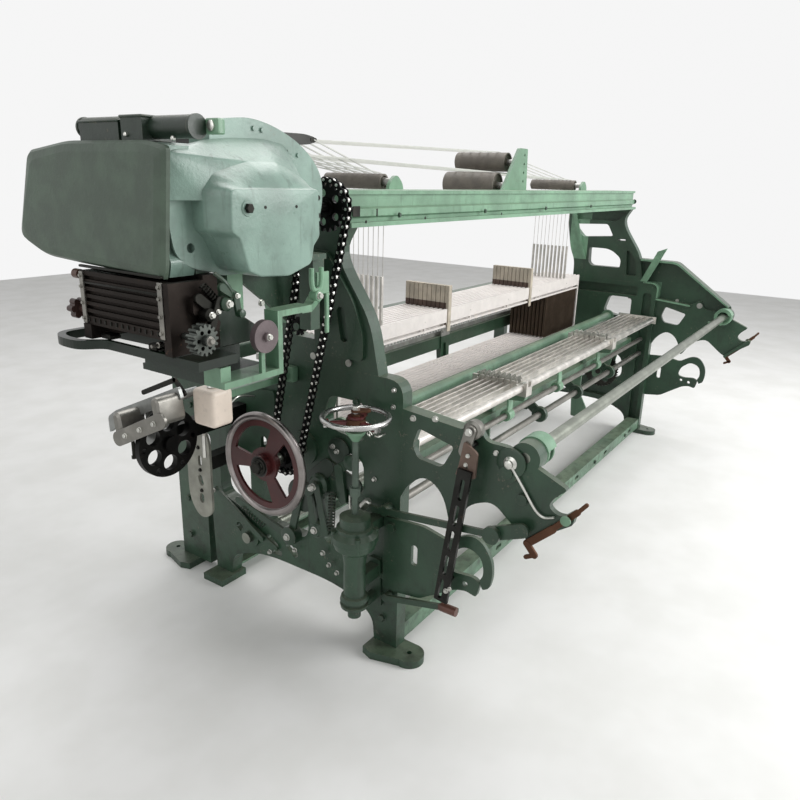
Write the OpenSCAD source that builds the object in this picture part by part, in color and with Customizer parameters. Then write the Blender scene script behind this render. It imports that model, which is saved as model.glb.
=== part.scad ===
// Power loom with a dobby on its left end.
// Places are measured on the bench: x from the outer face of the left side frame,
// y from the rear face of the rear legs towards the weaver, z from the floor.
// bench() then moves the whole loom so that its origin lies between the four floor bolts.

/* [Frame] */
// Width over the outer faces of the two side frames
frame_span = 2920; // [2700:10:3100]
// Depth from the rear leg to the front leg
frame_d = 1120; // [1110:5:1160]
// Height of the side frames
frame_h = 1000; // [980:5:1040]
// Thickness of a side frame's web
web_t = 18; // [12:1:26]
// Width of a side frame's legs and ribs along the loom
rim_w = 52; // [46:1:60]
// Width of the rear leg
leg_w = 96; // [80:2:110]
// Thickness of the foot pads
foot_t = 28; // [20:1:34]
// Radius of the floor bolt holes
foot_hole_r = 9; // [6:0.5:12]
// Height of the arches that carry the top beam
arch_h = 450; // [440:5:480]
// Height of the top beam
beam_h = 110; // [100:2:130]
// Depth of the top beam
beam_d = 140; // [120:5:160]

/* [Weaving parts] */
// Number of heald frames
heald_count = 10; // [6:1:10]
// Distance from one heald frame to the next
heald_pitch = 24; // [22:0.5:25]
// Thickness of a heald frame
heald_t = 11; // [8:0.5:13]
// Length of a heald frame
heald_len = 2456; // [2300:10:2500]
// Height of a heald frame
heald_h = 395; // [380:5:410]
// Height of a heald frame's top lath
lath_h = 62; // [50:2:70]
// Lift of a heald frame
heald_lift = 90; // [60:5:110]
// Number of thin bars in the warp stop motion
stop_bars_n = 6; // [4:1:7]
// Diameter of the chromed tube behind the warp stop bars
stop_tube_d = 34; // [24:1:40]
// Diameter of the back rest roller
whip_d = 40; // [30:1:48]
// Number of dents that the reed shows
reed_dents = 96; // [60:4:110]

/* [Drive] */
// Diameter of the large hand wheel
hand_wheel_d = 360; // [320:5:380]
// Diameter of the main shaft
main_shaft_d = 40; // [32:1:46]
// Pitch of the dobby chain
chain_pitch = 25.4; // [25:0.1:25.8]
// Teeth of the lower chain wheel
drive_teeth = 15; // [13:1:16]
// Teeth of the upper chain wheel
dobby_teeth = 19; // [17:1:20]
// Diameter of the let-off hand wheel
letoff_wheel_d = 222; // [180:2:240]
// Diameter of the rapier wheel
rapier_wheel_d = 226; // [200:2:232]
// Diameter of the cord drums above the healds
drum_d = 56; // [44:2:60]

/* [Hidden] */
$fn = 64;

green_dark = "#24523c";
green_pale = "#7fae90";
bare_steel = "#b9bcbb";
dark_steel = "#4a4d4c";

fit = 0.05;                 // running clearance round a turning shaft
seat = 0.3;                 // gap between parts that lie close and move apart
left_x = 0;
right_x = frame_span;
beam_z = frame_h + arch_h;
beam_top = beam_z + beam_h;
beam_y = 235;

main_y = 410;
main_z = 685;
hand_x = -200;
chain_x = -100;

drum_r = drum_d / 2;
drum_z = beam_top + 25;
axle_r = 9;
wire_left_x = 508;
wire_right_x = frame_span - 485;
wire_r = 1.3;
cable_r = 2;
wire_gap = 2;               // room between a drum and the heald wires that pass it
left_drum_x = wire_left_x - drum_r - wire_r - wire_gap;
right_drum_x = wire_right_x - drum_r - wire_r - wire_gap;
// Round the drum the cable runs to the angle where it meets the heald's own wire
cable_out = drum_r + 2 * cable_r + seat;
cable_end = acos((drum_r + wire_gap - seat) / cable_out);
wire_top = drum_z + cable_out * sin(cable_end);
centre_r = drum_d;
upper_r = 44;
heald_y = 450;
heald_x = (frame_span - heald_len) / 2;
heald_top = 1035;
stack_end = heald_y + (heald_count - 1) * heald_pitch + heald_t;

// Moves from bench places to the loom's own origin
module bench() { translate([-frame_span / 2, -frame_d / 2, 0]) children(); }

// Extrudes an outline drawn as (y, z) from x towards the right
module plate_x(x, t) {
    translate([x, 0, 0]) rotate([90, 0, 90]) linear_extrude(t) children();
}
// Extrudes an outline drawn as (x, z) from y towards the front
module plate_y(y, t) {
    translate([0, y + t, 0]) rotate([90, 0, 0]) linear_extrude(t) children();
}
module rod_x(x0, x1, y, z, r) {
    translate([x0, y, z]) rotate([0, 90, 0]) cylinder(h = x1 - x0, r = r);
}
// Long hole through a plate that lies across the x axis
module slot_2d_x(p, q, r) { plate_x(-40, 80) slot_2d(p, q, r); }
module rod_y(y0, y1, x, z, r) {
    translate([x, y0, z]) rotate([-90, 0, 0]) cylinder(h = y1 - y0, r = r);
}
module rod_z(z0, z1, x, y, r) {
    translate([x, y, z0]) cylinder(h = z1 - z0, r = r);
}
module block(x0, x1, y0, y1, z0, z1) {
    translate([x0, y0, z0]) cube([x1 - x0, y1 - y0, z1 - z0]);
}
function unit(v) = v / norm(v);
// Outline with its corners turned into curves: each point is [across, up, radius]
function soft(pts, steps = 5) = [
    for (i = [0 : len(pts) - 1])
        let (v = [pts[i][0], pts[i][1]],
             r = len(pts[i]) > 2 ? pts[i][2] : 0,
             p = pts[(i + len(pts) - 1) % len(pts)],
             q = pts[(i + 1) % len(pts)],
             a = [p[0], p[1]] - v,
             b = [q[0], q[1]] - v,
             ra = min(r, norm(a) * 0.48),
             rb = min(r, norm(b) * 0.48))
        for (s = [0 : (r > 0 ? steps : 0)])
            let (t = r > 0 ? s / steps : 0)
            r > 0
                ? pow(1 - t, 2) * (v + unit(a) * ra) + 2 * t * (1 - t) * v
                  + pow(t, 2) * (v + unit(b) * rb)
                : v];
module shape(pts) { polygon(soft(pts)); }
// Long hole or bar whose straight sides lie a little inside its round ends
module slot_2d(p, q, r, waist = 0.05) {
    d = q - p;
    w = r - waist;
    translate(p) circle(r);
    translate(q) circle(r);
    translate(p) rotate(atan2(d[1], d[0])) translate([0, -w]) square([norm(d), 2 * w]);
}

// Side frames

front_leg_y = frame_d - 170;
horn_z = 860;
take_up_y = frame_d - 110;
take_up_z = 720;
rock_y = 700;
rock_z = 240;
rock_r = 22;
take_up_pin_r = 18;

module frame_outline() {
    shape([[0, foot_t - 1], [0, frame_h, 60], [560, frame_h, 60], [700, horn_z, 60],
           [frame_d, horn_z, 12], [frame_d, foot_t - 1], [front_leg_y, foot_t - 1],
           [front_leg_y, 330, 60], [922, 330, 40], [910, foot_t - 1], [822, foot_t - 1],
           [806, 120, 40], [640, 185, 120], [250, 185, 120], [leg_w + 8, 120, 50],
           [leg_w, foot_t - 1]]);
}
module frame_windows() {
    shape([[150, 760, 30], [330, 790, 30], [300, 900, 30], [150, 900, 30]]);
    shape([[150, 560, 40], [270, 600, 30], [270, 720, 30], [150, 700, 40]]);
    shape([[150, 360, 60], [330, 330, 50], [330, 540, 60], [170, 510, 50]]);
    shape([[400, 320, 50], [620, 320, 50], [620, 560, 60], [560, 590, 50], [400, 540, 50]]);
    shape([[560, 660, 50], [760, 600, 40], [760, 780, 50], [620, 850, 60], [560, 820, 50]]);
    shape([[690, 330, 40], [860, 380, 40], [860, 540, 50], [690, 560, 50]]);
    shape([[910, 400, 30], [front_leg_y + 90, 400, 30], [front_leg_y + 90, 620, 30],
           [910, 620, 30]]);
    for (y = [470, 570, 735]) slot_2d([y, 238], [y + 32, 262], 15);
    slot_2d([548, 213], [574, 214], 11);
}
// Pockets behind the flat outer face leave the ribs
module frame_pockets() {
    shape([[26, 60], [leg_w - 22, 60], [leg_w - 14, 940, 20], [26, 940, 20]]);
    shape([[150, 215, 30], [780, 215, 30], [790, 300, 30], [150, 318, 30]]);
    shape([[120, 915, 14], [540, 915, 14], [540, frame_h - 26, 14], [120, frame_h - 26, 14]]);
}
module foot(y, way) {
    linear_extrude(foot_t) difference() {
        union() {
            translate([8, y - way * 51]) circle(52);
            polygon([[-44, y - way * 40], [60, y - way * 40], [60, y + way * (leg_w + 6)],
                     [-58, y + way * (leg_w + 6)], [-72, y + way * 60]]);
        }
        translate([8, y - way * 51]) circle(foot_hole_r);
    }
}
module side_frame() {
    color(green_dark) difference() {
        union() {
            plate_x(0, rim_w) frame_outline();
            foot(0, 1);
            foot(frame_d, -1);
            block(-70, 60, 806, 916, 0, foot_t);
            rod_x(-14, rim_w, main_y, main_z, 62);
            rod_x(-10, rim_w, rock_y, rock_z, 46);
            rod_x(0, rim_w, take_up_y, take_up_z, 44);
        }
        plate_x(-1, rim_w + 2) frame_windows();
        plate_x(web_t, rim_w) frame_pockets();
        rod_x(-20, rim_w + 1, main_y, main_z, main_shaft_d / 2 + fit);
        rod_x(-20, rim_w + 1, rock_y, rock_z, rock_r + fit);
        rod_x(web_t, rim_w + 1, take_up_y, take_up_z, take_up_pin_r + fit);
    }
}
module left_side_frame() { bench() side_frame(); }
module right_side_frame() {
    bench() translate([frame_span, 0, 0]) mirror([1, 0, 0]) side_frame();
}

// Arches on the side frames

module arch_outline() {
    shape([[96, frame_h], [132, frame_h + 170, 60], [272, beam_z - 80, 90],
           [beam_y - 12, beam_z], [620, beam_z, 30], [632, beam_z - 80, 80],
           [596, frame_h + 180, 50], [562, frame_h + 110, 40], [560, frame_h]]);
}
module arch() {
    color(green_dark) difference() {
        plate_x(0, rim_w) arch_outline();
        plate_x(-1, rim_w + 2) {
            shape([[318, beam_z - 172, 16], [360, beam_z - 98, 16], [592, beam_z - 108, 14],
                   [518, beam_z - 186, 14]]);
            shape([[254, frame_h + 82, 12], [250, frame_h + 140, 30], [326, frame_h + 198, 50],
                   [468, frame_h + 198, 16], [464, frame_h + 100, 14], [440, frame_h + 82, 8]]);
            slot_2d([240, beam_z - 192], [280, beam_z - 192], 5);
        }
        plate_x(web_t, rim_w) {
            shape([[140, frame_h + 40, 12], [206, frame_h + 40, 12],
                   [222, frame_h + 210, 30], [160, frame_h + 150, 30]]);
            shape([[300, beam_z - 76, 20], [beam_y + 12, beam_z - 22, 8],
                   [596, beam_z - 22, 12], [606, beam_z - 76, 20]]);
        }
    }
    // Brace in front of the windows
    color(green_pale) plate_x(rim_w - 0.01, 12) polygon([
        [604, beam_z - 40], [574, beam_z - 40], [482, frame_h + 120], [497, frame_h + 120]]);
    color(bare_steel) for (y = [210, 360, 525])
        rod_x(-9, 0.01, y, frame_h + 26, 8);
}
module left_arch() { bench() arch(); }
module right_arch() { bench() translate([frame_span, 0, 0]) mirror([1, 0, 0]) arch(); }

// Top beam: a box rail with a lip, a step and a wide bottom flange

module top_beam() {
    bench() color(green_pale) {
        plate_x(left_x + 4, frame_span - 8) polygon([
            [beam_y, beam_z + 14], [beam_y - 24, beam_z + 14], [beam_y - 24, beam_z],
            [beam_y + beam_d, beam_z], [beam_y + beam_d, beam_top],
            [beam_y - 10, beam_top], [beam_y - 10, beam_top - 12], [beam_y, beam_top - 12],
            [beam_y, beam_top - 50], [beam_y - 12, beam_top - 56],
            [beam_y - 12, beam_top - 78], [beam_y, beam_top - 84]]);
        rod_x(frame_span - 5, frame_span + 44, beam_y + 60, beam_top - 34, 17);
    }
}

// Floor channels between the legs

module channel(y, way) {
    difference() {
        block(rim_w, frame_span - rim_w, min(y, y + way * 74), max(y, y + way * 74), 36, 98);
        block(rim_w - 1, frame_span, min(y + way * 9, y + way * 80),
              max(y + way * 9, y + way * 80), 45, 89);
        for (x = [310 : 470 : frame_span - 200])
            plate_y(min(y, y + way * 10) - 1, 12) slot_2d([x, 68], [x + 34, 68], 9);
    }
}
module floor_channels() {
    bench() color(green_pale) {
        channel(4, 1);
        channel(904, -1);
    }
}

// Round rail in front of the warp stop motion

rail_y = 292;
rail_z = 762;
rail_r = 27;
module back_rail() {
    bench() color(green_pale) difference() {
        union() {
            rod_x(rim_w, frame_span - rim_w, rail_y, rail_z, rail_r);
            for (x = [rim_w, frame_span - rim_w - 14]) rod_x(x, x + 14, rail_y, rail_z, 42);
        }
        rod_x(rim_w - 1, frame_span, rail_y, rail_z, rail_r - 5);
    }
}

// Breast beam on the front horns

module breast_beam() {
    bench() color(green_dark) difference() {
        plate_x(left_x, frame_span) shape([
            [frame_d - 118, horn_z], [frame_d - 118, horn_z + 62, 14],
            [frame_d, horn_z + 62, 34], [frame_d, horn_z]]);
        plate_x(left_x - 1, frame_span + 2) shape([
            [frame_d - 106, horn_z + 10], [frame_d - 106, horn_z + 52, 8],
            [frame_d - 14, horn_z + 50, 24], [frame_d - 14, horn_z + 10]]);
    }
}

// Take-up roller with a grooved skin

module take_up_roller() {
    bench() color(dark_steel) difference() {
        union() {
            rod_x(rim_w + 12, frame_span - rim_w - 12, take_up_y, take_up_z, 54);
            rod_x(web_t + 2, frame_span - web_t - 2, take_up_y, take_up_z, take_up_pin_r);
        }
        for (x = [200 : 210 : frame_span - 150])
            translate([x, take_up_y, take_up_z]) rotate([0, 90, 0]) difference() {
                cylinder(h = 4, r = 60);
                cylinder(h = 4, r = 52);
            }
    }
}

// Warp stop motion

stop_z = 775;
stop_y0 = 196;
stop_y1 = 0;
stop_x0 = rim_w + 16;
stop_x1 = frame_span - rim_w - 16;
stop_step = (stop_y0 - stop_y1 - 46) / (stop_bars_n - 1);
comb_x = [905, frame_span - 905];
stand_y = 150;

module stop_bars() {
    bench() {
        color(bare_steel) {
            for (i = [0 : stop_bars_n - 1])
                block(stop_x0, stop_x1, stop_y0 - i * stop_step - 4,
                      stop_y0 - i * stop_step + 4, stop_z - 12, stop_z + 12);
            rod_x(stop_x0, stop_x1, stop_y1, stop_z, stop_tube_d / 2);
        }
        color(green_pale) for (x = [rim_w, frame_span - rim_w - 16])
            block(x, x + 16, stop_y1 - 24, stop_y0 + 22, stop_z - 24, stop_z + 20);
    }
}
module stop_combs() {
    bench() color(bare_steel) for (x = comb_x) {
        difference() {
            block(x - 28, x + 28, stop_y1 - 30, stop_y0 + 30, stop_z - 34, stop_z + 26);
            for (i = [0 : stop_bars_n - 1])
                block(x - 30, x + 30, stop_y0 - i * stop_step - 4 - seat,
                      stop_y0 - i * stop_step + 4 + seat, stop_z - 12 - seat, stop_z + 30);
            rod_x(x - 30, x + 30, stop_y1, stop_z, stop_tube_d / 2 + seat);
            block(x - 30, x + 30, stop_y1 - stop_tube_d / 2 - seat,
                  stop_y1 + stop_tube_d / 2 + seat, stop_z, stop_z + 30);
            block(x - 14, x + 14, stop_y1 - 40, stop_y0 + 40, stop_z + 6, stop_z + 30);
        }
    }
}
module stop_stand() {
    bench() color(green_pale) {
        difference() {
            block(rim_w, frame_span - rim_w, stand_y - 30, stand_y + 30, 590, 640);
            block(rim_w + 8, frame_span - rim_w - 8, stand_y - 22, stand_y + 40, 598, 632);
        }
        for (x = comb_x) {
            plate_x(x - 16, 32) shape([
                [stand_y - 26, 639.99], [stand_y - 20, stop_z - 70, 30],
                [stop_y1 - 20, stop_z - 56, 10], [stop_y1 - 20, stop_z - 34],
                [stop_y0 + 20, stop_z - 34], [stop_y0 + 20, stop_z - 56, 10],
                [stand_y + 20, stop_z - 70, 30], [stand_y + 26, 639.99]]);
            plate_x(x - 40, 10) shape([
                [stand_y - 29, 591], [stand_y - 29, 470, 20], [stand_y - 80, 380, 30],
                [stand_y - 80, 330, 8], [stand_y + 10, 330, 8], [stand_y + 28, 591]]);
        }
        for (x = [2510, 2604]) difference() {
            plate_x(x, 14) shape([
                [stand_y - 29, 591], [stand_y, 440, 20], [ratchet_y + 36, 430, 20],
                [ratchet_y + 44, 510, 20], [stand_y + 28, 591]]);
            rod_x(x - 1, x + 15, ratchet_y, ratchet_z, 15 + fit);
        }
    }
}

// Rear brackets carry the back rest and end in a fork for the warp beam

whip_y = -420;
whip_z = 852;
bolt_y = -262;
bolt_z = 892;
bolt_r = 9;
whip_x0 = rim_w + 8;
whip_x1 = frame_span - rim_w - 8;
bracket_t = 22;

module rear_bracket() {
    color(green_dark) difference() {
        union() {
            plate_x(0, bracket_t) shape([
                [-0.01, 912], [-213, 893, 10], [-262, 925, 16], [-296, 872, 20],
                [-366, 872, 20], [-555, 790, 14], [-522, 762, 18], [-500, 728, 22],
                [-530, 706, 18], [-582, 716, 8], [-578, 690, 8], [-450, 600, 14],
                [-420, 618, 20], [-330, 690, 30], [-250, 660, 50], [-190, 560, 30],
                [-160, 668, 60], [-90, 712, 60], [-26, 660, 30], [-0.01, 610]]);
            plate_x(0, rim_w) shape([[-0.01, 912], [-213, 893, 6], [-213, 883, 6],
                                     [-0.01, 902]]);
            rod_x(0, rim_w, whip_y, whip_z, 46);
            rod_x(-10, bracket_t, -372, 800, 34);
            plate_x(-8, rim_w) shape([[-582, 716], [-570, 722, 4], [-446, 606, 4],
                                      [-456, 594]]);
        }
        plate_x(-1, rim_w) shape([[-40, 800, 14], [-60, 862, 14], [-190, 830, 14],
                                  [-150, 752, 20], [-60, 762, 14]]);
        rod_x(-20, rim_w + 20, whip_y, whip_z, 16 + fit);
    }
    color(bare_steel) {
        rod_x(-16, 0, bolt_y, bolt_z, bolt_r);
        rod_x(-18, -10, -372, 800, 20);
    }
}
module roller_cap() {
    color(green_pale) difference() {
        rod_x(rim_w - 0.01, rim_w + 60, whip_y, whip_z, 50);
        rod_x(rim_w - 1, rim_w + 70, whip_y, whip_z, whip_d / 2 + 12);
        block(rim_w - 1, rim_w + 70, whip_y - 60, whip_y + 4, whip_z - 60, whip_z + 14);
    }
}
module left_rear_bracket() {
    bench() {
        rear_bracket();
        roller_cap();
    }
}
module right_rear_bracket() {
    bench() translate([frame_span, 0, 0]) mirror([1, 0, 0]) {
        rear_bracket();
        roller_cap();
    }
}
module whip_roller() {
    bench() color(bare_steel) {
        rod_x(whip_x0, whip_x1, whip_y, whip_z, whip_d / 2);
        rod_x(4, frame_span - 4, whip_y, whip_z, 16);
    }
}

// Casing above the right rear bracket

casing_foot = frame_h + 10;
casing_top = frame_h + 151;
guard_foot = frame_h - 85;
module right_casing() {
    bench() {
        color(green_dark) difference() {
            plate_x(frame_span + 0.01, 16) shape([
                [150, casing_foot], [142, casing_top, 14], [-100, casing_top - 3, 26],
                [-440, bolt_z + 13, 30], [-440, bolt_z - 12, 10], [-366, bolt_z - 26, 10],
                [-10, bolt_z - 22, 10], [10, casing_foot - 50, 20]]);
            rod_x(frame_span - 1, frame_span + 20, bolt_y, bolt_z, bolt_r + seat);
        }
        color(green_pale) plate_x(frame_span - 60, 60.02) shape([
            [122, casing_top], [-100, casing_top - 3, 26], [-432, bolt_z + 19, 10],
            [-432, bolt_z + 9, 4], [-98, casing_top - 15, 26], [122, casing_top - 12]]);
        // Strap that stands up from the casing, and the guard round the frame's corner
        color(green_pale) plate_x(frame_span - 68, 8.01) polygon([
            [106, casing_foot + 2], [64, casing_foot + 2], [-34, casing_top + 77],
            [22, casing_top + 54]]);
        color(green_pale) plate_x(frame_span - rim_w, rim_w + 0.02) shape([
            [93, frame_h + seat], [93, frame_h + 9], [-9, frame_h + 9, 66],
            [-9, guard_foot], [-seat, guard_foot], [-seat, frame_h + seat, 60]]);
    }
}

// Hooks low on the rear legs

link_y = -215;
link_z = 400;
module beam_hook() {
    color(green_dark) {
        difference() {
            plate_x(-14, 14) shape([
                [54, 530, 10], [-100, 540, 20], [-190, 520, 20], [-249, 558, 30],
                [-290, 564, 20], [-322, 544, 30], [-350, 498, 40], [-354, 444, 30],
                [-345, 406, 10], [-323, 393, 6], [-310, 420, 6], [-324, 446, 20],
                [-318, 489, 30], [-296, 513, 30], [-255, 522, 20], [-200, 480, 30],
                [-190, 428, 20], [-232, 420, 10], [-290, 426, 16], [-315, 412, 10],
                [-303, 360, 10], [-266, 368, 8], [-228, 360, 20], [-182, 330, 30],
                [-96, 274, 20], [54, 255, 10]]);
            rod_x(-20, 1, -262, 392, 9);
            rod_x(-20, 1, link_y, link_z, 8 + fit);
            slot_2d_x([-70, 400], [-70, 450], 12);
        }
        rod_x(-26, -13, 20, 500, 16);
    }
}
module beam_hooks() {
    bench() {
        beam_hook();
        translate([frame_span, 0, 0]) mirror([1, 0, 0]) beam_hook();
    }
}

// Levers of the let-off, and the slotted bar that hangs from the bracket

module letoff_levers() {
    bench() color(green_dark) {
        plate_x(-40, 10) slot_2d([160, 548], [-352, 604], 11);
        rod_x(-40, 0, 40, 562, 18);
        plate_x(-34, 10) slot_2d([30, 236], [-190, 288], 10);
        rod_x(-34, 0, 30, 236, 14);
        color("#8a3a2c") rod_y(-246, -190, -29, 290, 15);
    }
}
module slotted_bar() {
    bench() {
        color(dark_steel) difference() {
            plate_x(-64, 12) polygon([[-286, 792], [-240, 796], [-180, 336], [-226, 330]]);
            plate_x(-65, 14) for (i = [0 : 4])
                slot_2d([-260 + i * 13, 758 - i * 88], [-252 + i * 13, 702 - i * 88], 7);
        }
        color("#b08d80") difference() {
            plate_x(-52, 8) shape([[-292, 770, 6], [-296, 850, 10], [-250, 880, 10],
                                   [-236, 800, 6], [-226, 768, 6]]);
            rod_x(-60, -40, -262, 800, 5);
            rod_x(-60, -40, -268, 840, 5);
        }
        color(bare_steel) {
            rod_x(-44.01, 0, -262, 860, 8);
            rod_x(-52.01, 0, link_y, link_z, 8);
        }
    }
}

// Main shaft with its hand wheel and chain wheel

module hand_wheel() {
    r = hand_wheel_d / 2;
    bench() translate([hand_x, main_y, main_z]) rotate([0, 90, 0]) {
        color(bare_steel) rotate_extrude() translate([r - 13, 0]) {
            circle(13);
            translate([-2, -10]) square([10, 20]);
        }
        color("#5c2a2a") difference() {
            union() {
                translate([0, 0, -5]) cylinder(h = 10, r = r - 22.5);
                translate([0, 0, -26]) cylinder(h = 60, r = 38);
            }
            translate([0, 0, -6]) for (a = [30, 150, 270]) rotate(a)
                linear_extrude(12) difference() {
                    intersection() {
                        circle(r - 46);
                        polygon([[14, 0], [r * 2, r * 2.3], [r * 3, 0], [r * 2, -r * 2.3]]);
                    }
                    circle(58);
                }
            translate([0, 0, -30]) cylinder(h = 70, r = main_shaft_d / 2);
        }
    }
}
module main_shaft() {
    bench() color(bare_steel) {
        rod_x(hand_x - 34, right_x + 46, main_y, main_z, main_shaft_d / 2);
        rod_x(rim_w + seat, rim_w + 26, main_y, main_z, main_shaft_d / 2 + 14);
        rod_x(right_x - rim_w - 26, right_x - rim_w - seat, main_y, main_z,
              main_shaft_d / 2 + 14);
        rod_x(right_x + 15, right_x + 36, main_y, main_z, main_shaft_d / 2 + 12);
    }
}

// Chain wheels. The teeth end just inside the rollers, so that the wheels can turn

roller_r = 7;
function pitch_r(teeth) = chain_pitch / (2 * sin(180 / teeth));
module chain_wheel(teeth, bore_r, hub_r, hub_x0, hub_x1) {
    tip = pitch_r(teeth) - roller_r - seat;
    root = tip - 11;
    step = 360 / teeth;
    difference() {
        union() {
            plate_x(-5, 10) polygon([for (i = [0 : teeth - 1]) for (k = [0 : 3])
                let (a = i * step + [-0.38, -0.14, 0.14, 0.38][k] * step,
                     q = (k == 1 || k == 2) ? tip : root)
                [q * cos(a), q * sin(a)]]);
            plate_x(hub_x0, hub_x1 - hub_x0) circle(hub_r);
        }
        plate_x(min(hub_x0, -5) - 1, 200) circle(bore_r);
        if (root > 48) plate_x(-6, 12) for (a = [0 : 72 : 288]) rotate(a)
            translate([(root + hub_r) / 2, 0]) circle((root - hub_r) / 2 - 5);
    }
}
up = beam_top - 1560;       // the dobby's places were measured at this height
dobby_y = 220;
dobby_z = beam_top - 48;
dobby_shaft_r = 14;
idler_z = 1144 + up;
idler_teeth = 9;
module drive_sprocket() {
    bench() color(dark_steel) translate([chain_x, main_y, main_z])
        chain_wheel(drive_teeth, main_shaft_d / 2, main_shaft_d / 2 + 10, -30, 30);
}
module dobby_sprocket() {
    bench() translate([chain_x, dobby_y, dobby_z]) {
        color(dark_steel) chain_wheel(dobby_teeth, dobby_shaft_r, 26, -12, 18);
        color(bare_steel) rod_x(-190, 22, 0, 0, dobby_shaft_r);
    }
}

// Path of the chain's rollers: two straight strands and an arc on each wheel

chain_top = [dobby_y, dobby_z];
chain_low = [main_y, main_z];
r_top = pitch_r(dobby_teeth);
r_low = pitch_r(drive_teeth);
chain_run = norm(chain_low - chain_top);
chain_dir = (chain_low - chain_top) / chain_run;
chain_side = [-chain_dir[1], chain_dir[0]];
lean = asin((r_top - r_low) / chain_run);
front_n = chain_dir * sin(lean) + chain_side * cos(lean);
rear_n = chain_dir * sin(lean) - chain_side * cos(lean);
front_a = atan2(front_n[1], front_n[0]);
rear_a = atan2(rear_n[1], rear_n[0]);
strand = chain_run * cos(lean);
arc_low = r_low * (180 - 2 * lean) * PI / 180;
arc_top = r_top * (180 + 2 * lean) * PI / 180;
chain_len = 2 * strand + arc_low + arc_top;
chain_links = 2 * round(chain_len / chain_pitch / 2);
function on_chain(s) =
    s < strand
        ? chain_top + front_n * r_top + (chain_low - chain_top + front_n * (r_low - r_top)) * s / strand
    : s < strand + arc_low
        ? let (a = front_a - (s - strand) / r_low * 180 / PI) chain_low + r_low * [cos(a), sin(a)]
    : s < 2 * strand + arc_low
        ? let (t = (s - strand - arc_low) / strand)
          chain_low + rear_n * r_low + (chain_top - chain_low + rear_n * (r_top - r_low)) * t
    : let (a = rear_a - (s - 2 * strand - arc_low) / r_top * 180 / PI)
      chain_top + r_top * [cos(a), sin(a)];

module chain() {
    step = chain_len / chain_links;
    bench() color(dark_steel) translate([chain_x, 0, 0]) for (i = [0 : chain_links - 1]) {
        a = on_chain(i * step);
        b = on_chain(((i + 1) % chain_links) * step);
        inner = i % 2 == 0;
        gap = inner ? 6.5 : 9;
        for (x = [-gap - 2.5, gap]) plate_x(x, 2.5) slot_2d(a, b, inner ? 9.5 : 9, 2.5);
        rod_x(-12.2, 12.2, a[0], a[1], 4);
        rod_x(-6.6, 6.6, a[0], a[1], roller_r);
    }
}
// The idler stands inside the front strand
idler_part = (dobby_z - idler_z) / (dobby_z - main_z);
idler_r = pitch_r(idler_teeth);
idler_y = dobby_y + (main_y - dobby_y) * idler_part
    + (r_top + (r_low - r_top) * idler_part - idler_r - seat) / chain_side[0];
module idler_sprocket() {
    bench() color(dark_steel) translate([chain_x, idler_y, idler_z])
        chain_wheel(idler_teeth, 8 + fit, 15, -10, 8);
}

// Dobby. Its places are those of the standard height, and it moves with the top beam

module dobby_lift() { translate([0, 0, up]) children(); }

case_x0 = -752;             // outer face of the side panel
panel_x1 = -728;
shell_x0 = -722;
case_x1 = -655;
body_x1 = -300;
body_y0 = 150;
body_z0 = 1392;
body_z1 = 1662;
hood_y = dobby_y - 35;
table_t = 16;
module panel_outline(d) {
    shape([[113 + d, 1650 - d, 12], [121 + d, 1608], [142 + d, 1542, 60],
           [166 + d, 1436, 20], [141 + d, 1410, 14], [152 + d, 1372 + d],
           [460, 1382 + d], [612, 1389 + d, 40], [716 - d, 1427 + d, 24],
           [662 - d, 1563, 60], [638 - d, 1640 - d, 20], [466, 1662 - d, 30],
           [180, 1662 - d, 20]]);
}
// Outlines of the cover: its front with a level fold, and its base with a round top
cover_y0 = 50;
base_y = 110;
fold_z = 1567;
cover_x1 = -330;
module cover_front(d) {
    shape([[-629 + d, 1476, 16], [-629 + d, fold_z - d], [cover_x1 - d, fold_z - d],
           [cover_x1 - d, 1452, 16], [-352 - d, 1430, 12], [-362 - d, 1386 + d, 20],
           [-446, 1362 + d, 60], [-542, 1369 + d, 30], [-578 + d, 1384 + d, 10],
           [-606 + d, 1462, 16]]);
}
module cover_base() {
    shape([[-655, 1476, 20], [-655, 1562, 24], [-622, 1598, 30], [-574, 1613, 40],
           [-515, 1627, 50], [-426, 1628, 60], [-374, 1612, 40], [cover_x1, 1592, 8],
           [cover_x1, 1452, 16], [-352, 1430, 12], [-362, 1386, 20], [-446, 1362, 60],
           [-542, 1369, 30], [-590, 1384, 16], [-630, 1462, 20]]);
}
shell_y = body_y0 - 4;
ledge_z = 1541;
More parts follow.
